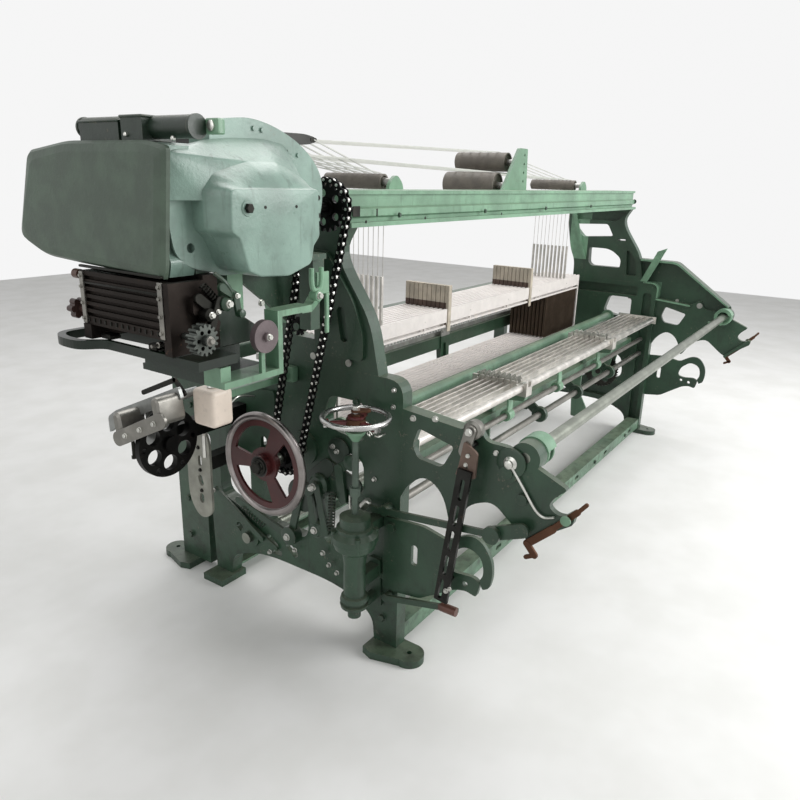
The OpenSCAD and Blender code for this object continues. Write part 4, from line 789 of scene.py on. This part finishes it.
class LOOM_OT_tank(bpy.types.Operator):
    """The moulded oil tank on its bar"""

    bl_idname = "loom.tank"
    bl_label = "Oil tank"

    def execute(self, context):
        resin = moulded("tank_resin", srgb(230, 216, 202), 0.32, 0.04, 0.18)
        shell = self.soft_block((-400, 415, 860), (-315, 510, 977), 15.0)
        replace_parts(piece("oil_tank_shell", resin, [shell], angle=60.0), "oil_tank")
        fitting("oil_tank_bar", "pale", box((-316, 450, 930), (0, 474, 954), 2),
                box((-30, 436, 922), (-2, 488, 976), 3))
        drop = [(-300, 448, 914), (-272, 444, 930), (-236, 446, 924), (-196, 450, 912)]
        fitting("oil_pipe", "bright", turned([(5, 0), (5, 292)], 12, "x", (-316, 462, 966)),
                turned([(9, 0), (9, 8), (6, 9), (6, 22)], 12, "x", (-316, 462, 966)),
                tube(smooth_path(drop, 14), 2.4, 6), *bolts("-x", (-30, 462, 940, 13, 8)),
                turned([(14, 0), (16, 3), (14, 9)], 20, "z", (-358, 462, 977)))
        return {"FINISHED"}

    @staticmethod
    def soft_block(lo, hi, radius):
        """A block whose edges are all rounded: rings of rounded rectangles, drawn in along a quarter
        circle near both ends."""
        lo, hi = np.array(lo, float), np.array(hi, float)
        size, middle = hi - lo, (lo + hi) / 2
        a = np.linspace(0, math.pi / 2, 6)
        foot = [(radius * (1 - np.sin(t)), lo[2] + radius * (1 - np.cos(t))) for t in a]
        head = [(inset, hi[2] + lo[2] - z) for inset, z in foot[::-1]]
        rings = []
        for inset, z in foot + head:
            outline = rounded(size[0] - 2 * inset, size[1] - 2 * inset, radius * 1.02 - inset * 0.9, 6)
            rings.append(np.concatenate([outline + middle[:2], np.full((len(outline), 1), z)], 1))
        return skin_of_rings(np.array(rings))


class LOOM_OT_chain(bpy.types.Operator):
    """The bright rollers and rivets of the chain"""

    bl_idname = "loom.chain"
    bl_label = "Chain rollers"

    def execute(self, context):
        places = self.roller_places()
        roller = turned([(7.6, 0), (7.6, 12.6)], 10, "x")
        fitting("chain_rollers", "bright", copies(roller, [(-106.3, y, z) for y, z in places]))
        rivets = []
        for x, axis in ((-112.0, "-x"), (-88.0, "x")):
            rivet = turned([(4.6, 0), (4.6, 0.9), (3.0, 1.6)], 8, axis)
            rivets.append(copies(rivet, [(x, y, z) for y, z in places]))
        fitting("chain_rivets", "bright", *rivets)
        return {"FINISHED"}

    @staticmethod
    def roller_places():
        """Even steps along the closed path: a strand to the low wheel, its arc, a strand back and
        the top arc."""
        top, low = np.array(DOBBY_SHAFT, float), np.array(MAIN_SHAFT, float)
        r_top, r_low = (CHAIN_PITCH / (2 * math.sin(math.pi / teeth)) for teeth in CHAIN_TEETH)
        run = np.linalg.norm(low - top)
        way = (low - top) / run
        side = np.array([-way[1], way[0]])
        lean = math.asin((r_top - r_low) / run)
        front = way * math.sin(lean) + side * math.cos(lean)
        rear = way * math.sin(lean) - side * math.cos(lean)
        strand = run * math.cos(lean)
        a_front, a_rear = (math.atan2(n[1], n[0]) for n in (front, rear))
        low_arc, top_arc = r_low * (math.pi - 2 * lean), r_top * (math.pi + 2 * lean)
        length = 2 * strand + low_arc + top_arc
        count = 2 * round(length / CHAIN_PITCH / 2)
        s = np.arange(count)[:, None] * length / count
        a = a_front - (s - strand) / r_low
        b = a_rear - (s - 2 * strand - low_arc) / r_top
        down = top + front * r_top + (low - top + front * (r_low - r_top)) * s / strand
        round_low = low + r_low * np.concatenate([np.cos(a), np.sin(a)], 1)
        back = low + rear * r_low + (top - low + rear * (r_top - r_low)) * (s - strand - low_arc) / strand
        round_top = top + r_top * np.concatenate([np.cos(b), np.sin(b)], 1)
        return np.where(s < strand, down, np.where(s < strand + low_arc, round_low,
                        np.where(s < 2 * strand + low_arc, back, round_top)))


class LOOM_OT_heddles(bpy.types.Operator):
    """Flat steel heddles, guide posts and rivets on each heald frame"""

    bl_idname = "loom.heddles"
    bl_label = "Heddles"

    def execute(self, context):
        for k in range(HEALDS):
            y = FIRST_HEALD + HEALD_PITCH * k
            body = f"heald_{k + 1}_frame"
            strip = box((-1.6, y - 7.4, 706), (1.6, y + 7.4, 952), 0.4)
            strips = copies(strip, [(x, 0, 0) for x in np.arange(2184.0, 2650.0, 11.5)])
            fitting(f"heddles_{k + 1}", "strip", strips, body=body)
            tooth = box((-1.2, y - 5.0, 962), (1.2, y + 5.0, 1012), 0.4)
            guides = copies(tooth, [(post + dx, 0, 0) for post in HEALD_GUIDES for dx in (0, 4, 38, 42)])
            fitting(f"heald_guides_{k + 1}", "strip", guides, body=body)
            wires = []
            for x in (508.0, 2435.0):
                wires += [box((x - 3.2, y - 7, 1040), (x + 3.2, y + 7, 1058), 1),
                          turned([(3.6, 0), (4.4, 3), (4.4, 30), (2.4, 40)], 8, "z", (x, y, 1112))]
            rivets = [turned([(2.6, 0), (2.6, 2)], 8, "-y", (x, y - 5.5, 1002))
                      for x in range(422, 2473, 410)]
            fitting(f"heald_rivets_{k + 1}", "bright", *wires, *rivets, body=body)
        fitting("heald_front_posts", "cream", body="heald_1_frame", *[
            box((post + 7, 446.0, 930), (post + 34, 449.8, 1141), 1.2) for post in HEALD_GUIDES])
        return {"FINISHED"}


class LOOM_OT_reader(bpy.types.Operator):
    """Edge strips, screws and levers of the pattern reader"""

    bl_idname = "loom.reader"
    bl_label = "Pattern reader fittings"

    def execute(self, context):
        screws = [screw for z in (1252, 1290, 1330, 1356)
                  for screw in ((-753, 154, z, 8, 4), (-753, 451, z - 2, 7, 3))]
        fitting("reader_strips", "grey",
                box((-753, 146, 1238), (-747, 162, 1366), 1), box((-753, 444, 1238), (-747, 458, 1364), 1),
                *bolts("-x", *screws),
                turned([(7, 0), (7, 12), (4, 13), (4, 30)], 12, "-x", (-728, 190, 1218)),
                *bolts("-y", (-716, 36, 1246, 12, 6)),
                turned([(11, 0), (11, 2.5), (9, 4)], 20, "-y", (-716, 39.5, 1246)))
        fitting("reader_levers", "dark",
                *[box((-751, 150, z), (-742, 458, z + 6), 1.5) for z in (1374, 1335)],
                *[box((-750.5, y, 1242), (-747, y + 5, 1252), 1) for y in range(172, 444, 22)],
                box((-738, 200, 1200), (-700, 230, 1216), 3), box((-736, 380, 1200), (-704, 420, 1213), 3),
                link((-690, 1330), (-648, 1296), 24, 8, "y", 96),
                link((-664, 1262), (-640, 1322), 18, 7, "y", 86),
                spring((-676, 104, 1360), (-640, 96, 1318), 8, 2.2, 7),
                turned([(13, 0), (15, 3), (15, 26), (10, 30)], 16, "-y", (-672, 110, 1292)))
        rod = [(-650, 90, 1384), (-628, 76, 1360), (-610, 78, 1330), (-622, 82, 1304)]
        fitting("reader_linkage", "green",
                link((-640, 1352), (-604, 1330), 20, 10, "y", 74),
                link((-604, 1330), (-596, 1286), 16, 9, "y", 70), tube(smooth_path(rod, 16), 5, 7),
                turned([(16, 0), (18, 4), (18, 18), (12, 24)], 18, "-y", (-622, 100, 1312)),
                turned([(10, 0), (10, 16), (6, 18)], 12, "-y", (-596, 76, 1288)))
        fitting("reader_nuts", "bright", *bolts("-y", (-622, 76, 1312, 14, 6), (-604, 68, 1330, 10, 5),
                                                (-672, 80, 1292, 12, 6), (-648, 86, 1296, 9, 5)))
        return {"FINISHED"}


class LOOM_OT_dobby_trim(bpy.types.Operator):
    """Bolts, loop, plates and lids about the dobby"""

    bl_idname = "loom.dobby_trim"
    bl_label = "Dobby fittings"

    def execute(self, context):
        loop = [(-352, 62, 1372), (-352, 62, 1338), (-346, 62, 1318), (-333, 62, 1312), (-320, 62, 1318),
                (-314, 62, 1338), (-314, 62, 1372)]
        fitting("dobby_loop", "pale", tube(smooth_path(loop, 24), 7, 10),
                turned([(14, 0), (15, 3), (15, 22), (12, 26)], 18, "y", (-333, 52, 1300)),
                box((-290, 96, 1292), (-240, 106, 1352), 2), box((-250, 98, 1180), (-238, 106, 1352), 1.5),
                box((-668, 34, 1676), (-648, 74, 1708), 3))
        fitting("dobby_bolts", "bright",
                *bolts("-y", (-333, 52, 1300, 14, 7), (-449, 150, 1284, 13, 6), (-545, 28, 1228, 12, 6)),
                turned([(11, 0), (11, 4), (7, 6)], 16, "-x", (-668, 54, 1693)),
                *[turned([(5, 0), (5, 5), (3, 7)], 12, "-x", at)
                  for at in ((-728, 256, 1674), (-712, 120, 1666))])
        fitting("dobby_lids", "deep",
                box((-731, 282, 1700), (-655, 433, 1706), 2), box((-731, 199, 1708), (-639, 278, 1714), 2),
                turned([(23.5, 0), (23.5, 6), (20, 8)], 24, "y", (-700, 446, 1692)),
                turned([(25.5, 0), (25.5, 8)], 24, "y", (-690, 70, 1690)))
        hooks = []
        for k in range(HEALDS):
            x, z = ((62, 1664), (138, 1712))[k % 2]
            hooks.append(link((x - 10, z), (x + 10, z), 13, 7, "y", FIRST_HEALD + HEALD_PITCH * k - 3.5))
        fitting("jack_hooks", "dark", *hooks)
        # The web behind the reader is a plate in deep green, painted shade for the shadowed space behind the
        # reader.
        web = [(-610, 1197), (-474, 1197), (-474, 1228), (-520, 1258), (-556, 1290), (-610, 1298)]
        fitting("reader_web", "deep", plate(web, 60, 3, "-y", (0, 190, 0)))
        return {"FINISHED"}


class LOOM_OT_wheels(bpy.types.Operator):
    """Nut of the hand wheel, and the let-off wheel's hub, cup and pins"""

    bl_idname = "loom.wheels"
    bl_label = "Wheel fittings"

    def execute(self, context):
        fitting("hand_wheel_nut", "dark",
                turned([(30, 0), (30, 3), (27, 5)], 28, "-x", (-226, *MAIN_SHAFT)),
                hexagon(38, 16, "-x", (-231, *MAIN_SHAFT)), body="drive")
        hub = [(34, 0), (34, 3), (30, 12), (30, 18), (15, 20), (15, 34)]
        fitting("letoff_hub", "brown", turned(hub, 26, "z", (*LETOFF, 880)),
                link(LETOFF, (-108, 62), 30, 8, "z", 918), body="letoff")
        cup = [(11.5, 0), (30, 26), (32, 30), (32, 34), (11.5, 36)]
        fitting("letoff_cup", "pale", turned(cup, 26, "z", (*LETOFF, 824)), body="letoff")
        fitting("letoff_pins", "bright", hexagon(22, 12, "z", (*LETOFF, 926)),
                *bolts("-y", (-118, 54, 884, 10, 5)), spring((-112, 52, 846), (-78, 40, 862), 9, 2.2, 5),
                box((-96, 22, 838), (-58, 40, 843), 1), body="letoff")
        return {"FINISHED"}


class LOOM_OT_rapier(bpy.types.Operator):
    """Springs, rods and rail about the rapier drive, and the tape's screws"""

    bl_idname = "loom.rapier"
    bl_label = "Rapier fittings"

    def execute(self, context):
        springs = []
        for y, z in ((690, 890), (655, 905), (620, 920), (585, 935)):
            springs += [spring((-408, y, z), (-380, y - 10, z + 4), 13, 2.6, 4),
                        turned([(9, 0), (9, 22), (6, 24)], 12, "-x", (-386, y, z))]
        fitting("rapier_linkage", "dark", *springs, *links(16, 8, -420, (720, 925), (560, 996), (520, 960)),
                turned([(6, 0), (6, 66)], 12, "z", (-404, 820, 672)),
                turned([(9, 0), (9, 10)], 12, "z", (-404, 820, 668)))
        fitting("rapier_rail", "grey", link((724, 796), (506, 902), 48, 10, "x", -522),
                link((720, 802), (730, 862), 36, 96, "x", -519, 8),
                link((524, 897), (532, 950), 34, 96, "x", -519, 6))
        fitting("rapier_pins", "bright", turned([(6, 0), (6, 74), (3, 76)], 12, "z", (-392, 474, 756)),
                *bolts("-x", *[(-522, y, z, 13, 6) for y, z in ((680, 817), (604, 854), (534, 888))]))
        fitting("tape_screws", "dark",
                *bolts("-x", *[(-160, y, z, 11, 4) for y, z in ((782, 470), (784, 552), (788, 640))]))
        return {"FINISHED"}


class LOOM_OT_side_gear(bpy.types.Operator):
    """Levers, cams and pins outside the left frame"""

    bl_idname = "loom.side_gear"
    bl_label = "Levers on the left side"

    def execute(self, context):
        fitting("side_levers", "green",
                *links(34, 16, -34, (341, 566), (374, 532)), *links(26, 12, -30, (372, 535), (352, 416)),
                *links(28, 14, -46, (322, 570), (284, 408)), *links(46, 14, -30, (284, 408), (345, 388)),
                turned([(38, 0), (40, 4), (40, 20), (30, 30)], 30, "-x", (0, 334, 568)),
                turned([(30, 0), (32, 4), (32, 26), (22, 34)], 26, "-x", (0, 344, 390)),
                *links(24, 9, -26, (865, 402), (623, 260)), *links(22, 9, -14, (840, 350), (560, 236)),
                *links(30, 12, -40, (724, 398), (465, 330)), *links(30, 12, -28, (465, 330), (420, 500)),
                *links(34, 16, -20, (228, 540), (245, 650)), *links(34, 16, -17, (245, 650), (190, 690)),
                turned([(26, 0), (28, 4), (28, 16), (18, 22)], 24, "-x", (-4, 194, 684)),
                turned([(34, 0), (36, 4), (36, 40), (20, 46)], 26, "-x", (0, 465, 330)))
        # The cams and springs outside the left frame are deep green: painted shade for that side, which lies
        # in shadow.
        fitting("side_cams", "deep",
                *links(60, 10, -12, (430, 520), (300, 640)), *links(56, 10, -10, (300, 640), (180, 600)),
                turned([(60, 0), (64, 5), (64, 14), (50, 18)], 34, "-x", (0, 420, 500)),
                turned([(44, 0), (46, 4), (46, 12), (30, 16)], 30, "-x", (0, 250, 712)),
                spring((-30, 268, 420), (-30, 262, 560), 12, 2.6, 12),
                spring((-36, 700, 380), (-36, 590, 330), 11, 2.4, 9))
        heads = [(-50, 341, 564, 18), (-60, 322, 577, 18), (-34, 343, 392, 20), (-18, 451, 269, 13),
                 (-18, 315, 304, 14), (-18, 287, 265, 13), (-18, 250, 246, 13), (-18, 582, 216, 13),
                 (-16, 270, 726, 13), (-16, 252, 712, 13), (-46, 465, 330, 20), (-35, 865, 402, 14),
                 (-2, 32, 968, 12), (-2, 34, 912, 12), (-2, 103, 646, 12), (-2, 40, 569, 12),
                 (-2, 20, 494, 12)]
        points, faces = turned([(15, 0), (13, 34), (9, 38)], 20)
        lean = np.array([(1, 0, 0), (0, 0.78, 0.62), (0, -0.62, 0.78)])
        fitting("side_pins", "bright", *bolts("-x", *[(*head, 8) for head in heads]),
                turned([(6, 0), (6, 62), (4, 64)], 12, "z", (-10, 199, 500)),
                (points @ lean + [-60, 106, 568], faces),
                *[turned([(5, 0), (5, 108)], 10, "z", (26, y, 358)) for y in (-132, -156)])
        return {"FINISHED"}


class LOOM_OT_rear_gear(bpy.types.Operator):
    """Fittings on the rear brackets: caps, wires, latches and bolts"""

    bl_idname = "loom.rear_gear"
    bl_label = "Rear bracket fittings"

    def execute(self, context):
        wire = [(-18, -381, 832), (-12, -396, 808), (-9, -430, 760), (-9, -462, 716), (-9, -482, 698),
                (-9, -500, 694), (-9, -526, 703)]
        nut = [(20, 0), (21, 2), (21, 10), (13, 16), (13, 24), (8, 27)]
        fitting("rear_wire", "bright", tube(smooth_path(wire, 26), 4.2, 8),
                turned(nut, 24, "-x", (-2, *BRACKET_BOSS)),
                *bolts("-x", (-2, -331, 847, 13, 6), (-52, -265, 837, 10, 4), (-52, -260, 808, 10, 4),
                       (-52, -268, 785, 10, 4), (-64, -223, 378, 12, 5), (-64, -236, 390, 10, 5)))
        arc = slice(2, 24)
        cap = np.concatenate([ring(47, 28)[arc], ring(36, 28)[arc][::-1]]) + WHIP_ROLLER
        fitting("bearing_caps", "pale",
                *[side for x in (60, 96) for side in both_sides(plate(cap, 10, 2, "x", (x, 0, 0)))],
                *both_sides(box((104, -372, 806), (112, -340, 818), 2)))
        fitting("rear_bosses", "green",
                *both_sides(turned([(15, 0), (17, 3), (17, 12), (10, 14)], 22, "-x", (0, -424, 727))),
                *both_sides(turned([(44, 0), (46, 3), (46, 8), (38, 12)], 30, "-x", (0, *BRACKET_BOSS))),
                turned([(26, 0), (28, 4), (28, 18), (14, 22)], 24, "-x", (-30, -352, 604)),
                link((-352, 604), (-440, 640), 44, 12, "x", -30))
        fitting("tube_knob", "grey",
                turned([(27, 0), (29, 3), (29, 28), (21, 34)], 26, "-x", (0, -262, 908)),
                link((-262, 908), (-246, 842), 36, 10, "x", -44))
        fitting("tube_knob_bolt", "bright", *bolts("-x", (-49, -262, 908, 17, 8)))
        fitting("fork_latches", "brown", *both_sides(
            *links(24, 8, -10, (-452, 596), (-524, 664)), *links(18, 8, -9, (-518, 660), (-590, 736)),
            *links(12, 8, -8, (-590, 736), (-612, 764)), *links(20, 9, -12, (-452, 596), (-478, 566)),
            *links(13, 8, -11, (-478, 566), (-452, 552))))
        fitting("latch_discs", "pale",
                *both_sides(turned([(15, 0), (15, 5), (11, 7)], 20, "-x", (-14, -562, 706))))
        return {"FINISHED"}


class LOOM_OT_stop_motion(bpy.types.Operator):
    """Comb plates, end knob, cross rods and curved legs of the warp stop motion"""

    bl_idname = "loom.stop_motion"
    bl_label = "Warp stop motion"

    def execute(self, context):
        combs = []
        for x in STOP_COMBS:
            combs += [link((y, 786), (y + 8, 812), 10, 1.8, "x", x + dx, 0.4)
                      for dx in range(-24, 25, 12) for y in range(18, 187, 24)]
            combs += [box((x - 30, 12, 764), (x + 30, 20, 790), 2),
                      box((x - 30, 196, 764), (x + 30, 204, 792), 2),
                      turned([(21, 0), (21, 26)], 24, "x", (x - 13, 0, 775))]
        fitting("comb_plates", "bright", *combs)
        fitting("cross_rods", "grey", *[turned([(r, 0), (r, 2812)], 18, "x", (54, y, z))
                                        for y, z, r in ((60, 640, 13), (58, 548, 15), (330, 600, 18))])
        legs = []
        for x in (STOP_COMBS[0], SPAN / 2, STOP_COMBS[1]):
            bend = [(x, 60, 738), (x, 52, 690), (x, 58, 640), (x, 92, 600), (x, 130, 592)]
            legs += [along(smooth_path(bend, 24), rounded(44, 10, 4)),
                     turned([(24, 0), (26, 3), (26, 44), (22, 48)], 22, "x", (x - 24, 60, 640))]
        fitting("comb_legs", "pale", *legs)
        collars = []
        for x in (1250, 1720, 2240):
            collars += [turned([(36, 0), (38, 4), (38, 20), (34, 24)], 28, "x", (x, 58, 548)),
                        link((58, 548), (112, 590), 44, 14, "x", x + 4)]
        fitting("rod_collars", "green", *collars)
        return {"FINISHED"}


class LOOM_OT_fasteners(bpy.types.Operator):
    """Bolts and nuts of the frames, arches, beam and channels"""

    bl_idname = "loom.fasteners"
    bl_label = "Frame bolts"

    def execute(self, context):
        frames = [(0, y, z, 22, 11) for y, z in ((60, 130), (60, 300), (1060, 130), (1060, 300), (1060, 880),
                                                 (700, 240), (620, 900), (180, 900), (1010, 720))]
        arches = [(0, y, 1496, 20, 10) for y in (226, 360)]
        fitting("frame_bolts", "green", *both_sides(*bolts("-x", *frames, *arches)),
                *bolts("-y", *[(x, 211, 1482, 13, 5) for x in range(260, 2700, 610)],
                       *[(x, 4, 67, 18, 8) for x in range(340, 2581, 560)]))
        fitting("beam_holes", "dark", box((8, 208.5, 1482), (44, 211.5, 1514), 1),
                box((131, 208.8, 1481), (137, 211.5, 1505), 1),
                *[turned([(5, 0), (5, 1)], 12, "-y", (x, 210.5, z))
                  for x, z in ((76, 1466), (422, 1468), (1020, 1468))])
        washers = [turned([(12, 0), (12, 2)], 16, "-x", (-9, y, 1026)) for y in (210, 360, 525)]
        fitting("frame_washers", "bright", *both_sides(*washers),
                *both_sides(*bolts("-x", (0, -120, 905, 15, 7), (0, -40, 890, 15, 7))))
        return {"FINISHED"}


# Stage


class LOOM_OT_stage(bpy.types.Operator):
    """Sets the floor, the soft light and the camera"""

    bl_idname = "loom.stage"
    bl_label = "Floor, light and camera"

    def execute(self, context):
        scene = context.scene
        settings = scene.loom_stage
        mesh = bpy.data.meshes.new("floor")
        edge = 9.0
        mesh.from_pydata([(-edge, -edge, 0), (edge, -edge, 0), (edge, edge, 0), (-edge, edge, 0)], [],
                         [(0, 1, 2, 3)])
        mesh.update()
        floor = bpy.data.objects.new("floor", mesh)
        scene.collection.objects.link(floor)
        mesh.materials.append(self.floor_finish())
        self.lamp("key_lamp", (1.6, -5.2, 3.4), (0.0, 0.0, 0.8), 3.6, settings.key_power)
        self.lamp("top_lamp", (0.6, 1.2, 5.2), (0.0, 0.0, 0.8), 4.0, settings.key_power * 0.5)
        self.lamp("fill_lamp", (-5.4, -0.6, 3.6), (0.0, 0.0, 0.7), 4.0, settings.fill_power)
        self.room(settings.world_level)
        self.camera(settings.lens, settings.eye_height)
        scene.view_settings.view_transform = "Standard"
        return {"FINISHED"}

    @staticmethod
    def floor_finish():
        f = Finish("studio_floor")
        grain = f.noise(3.0, 3.0)
        base = f.mix(grain.past(0.3, 0.7), srgb(226, 226, 223), srgb(234, 234, 232))
        return f.give(Base_Color=base, Roughness=0.75)

    @staticmethod
    def add(name, data, right, up, back, at):
        """A lamp or camera at a place. Its own axes point right, up, and back from what it looks at."""
        thing = bpy.data.objects.new(name, data)
        bpy.context.scene.collection.objects.link(thing)
        thing.matrix_world = Matrix([*zip(right, up, back, at), (0, 0, 0, 1)])
        return thing

    @classmethod
    def lamp(cls, name, at, to, size, power):
        data = bpy.data.lights.new(name, "AREA")
        data.shape, data.size, data.energy = "SQUARE", size, power
        way = np.array(to, float) - np.array(at, float)
        way /= np.linalg.norm(way)
        side = np.cross(way, (0.0, 0.0, 1.0))
        side /= np.linalg.norm(side)
        cls.add(name, data, side, np.cross(side, way), -way, at)

    @staticmethod
    def room(level):
        """Even light from all round. The camera and glossy rays see a near white room in its place."""
        seen_level = 0.92
        world = bpy.data.worlds.new("studio")
        bpy.context.scene.world = world
        world.use_nodes = True
        nodes, joins = world.node_tree.nodes, world.node_tree.links
        nodes.clear()
        out = nodes.new("ShaderNodeOutputWorld")
        lit, seen = nodes.new("ShaderNodeBackground"), nodes.new("ShaderNodeBackground")
        lit.inputs[0].default_value, lit.inputs[1].default_value = (1, 1, 1, 1), level
        seen.inputs[0].default_value, seen.inputs[1].default_value = (1, 1, 1, 1), seen_level
        path, mix = nodes.new("ShaderNodeLightPath"), nodes.new("ShaderNodeMixShader")
        either = nodes.new("ShaderNodeMath")
        either.operation, either.use_clamp = "MAXIMUM", True
        for start, end in ((path.outputs["Is Camera Ray"], either.inputs[0]),
                           (path.outputs["Is Glossy Ray"], either.inputs[1]),
                           (either.outputs[0], mix.inputs[0]), (lit.outputs[0], mix.inputs[1]),
                           (seen.outputs[0], mix.inputs[2]), (mix.outputs[0], out.inputs[0])):
            joins.new(start, end)

    @classmethod
    def camera(cls, lens, height):
        """The camera looks along the yaw and pitch found from the loom's long and upright edges,
        with a small roll."""
        pitch, yaw, roll = math.radians(17.6), math.radians(33.89), math.radians(-1.61)
        way = np.array([math.cos(yaw) * math.cos(pitch), math.sin(yaw) * math.cos(pitch), -math.sin(pitch)])
        right = np.array([math.sin(yaw), -math.cos(yaw), 0.0])
        down = np.cross(way, right)
        across = math.cos(roll) * right + math.sin(roll) * down
        below = -math.sin(roll) * right + math.cos(roll) * down
        data = bpy.data.cameras.new("camera")
        data.lens, data.sensor_width, data.sensor_fit = lens, 36.0, "HORIZONTAL"
        data.clip_start, data.clip_end = 0.05, 60.0
        camera = cls.add("camera", data, across, -below, -way, (-3.19, -1.71, height))
        bpy.context.scene.camera = camera


class LOOM_PT_finish(bpy.types.Panel):
    """Lists the loom's finishing steps"""

    bl_idname = "LOOM_PT_finish"
    bl_label = "Power loom"
    bl_space_type = "VIEW_3D"
    bl_region_type = "UI"
    bl_category = "Loom"

    def draw(self, context):
        for step in STEPS:
            self.layout.operator(step.bl_idname)
        for group in (context.scene.loom_colours, context.scene.loom_stage):
            for key in group.__annotations__:
                self.layout.prop(group, key)


STEPS = (LOOM_OT_stage, LOOM_OT_paint, LOOM_OT_cover, LOOM_OT_tank, LOOM_OT_chain, LOOM_OT_heddles,
         LOOM_OT_reader, LOOM_OT_dobby_trim, LOOM_OT_wheels, LOOM_OT_rapier, LOOM_OT_side_gear,
         LOOM_OT_rear_gear, LOOM_OT_stop_motion, LOOM_OT_fasteners)
GROUPS = {"loom_colours": LoomColours, "loom_stage": LoomStage}


def register():
    for group in GROUPS.values():
        bpy.utils.register_class(group)
    for step in STEPS:
        bpy.utils.register_class(step)
    bpy.utils.register_class(LOOM_PT_finish)
    for name, group in GROUPS.items():
        setattr(bpy.types.Scene, name, PointerProperty(type=group))


def unregister():
    for name in GROUPS:
        delattr(bpy.types.Scene, name)
    bpy.utils.unregister_class(LOOM_PT_finish)
    for step in reversed(STEPS):
        bpy.utils.unregister_class(step)
    for group in GROUPS.values():
        bpy.utils.unregister_class(group)


def main():
    register()
    for step in STEPS:
        group, name = step.bl_idname.split(".")
        getattr(getattr(bpy.ops, group), name)()


if __name__ == "__main__":
    main()
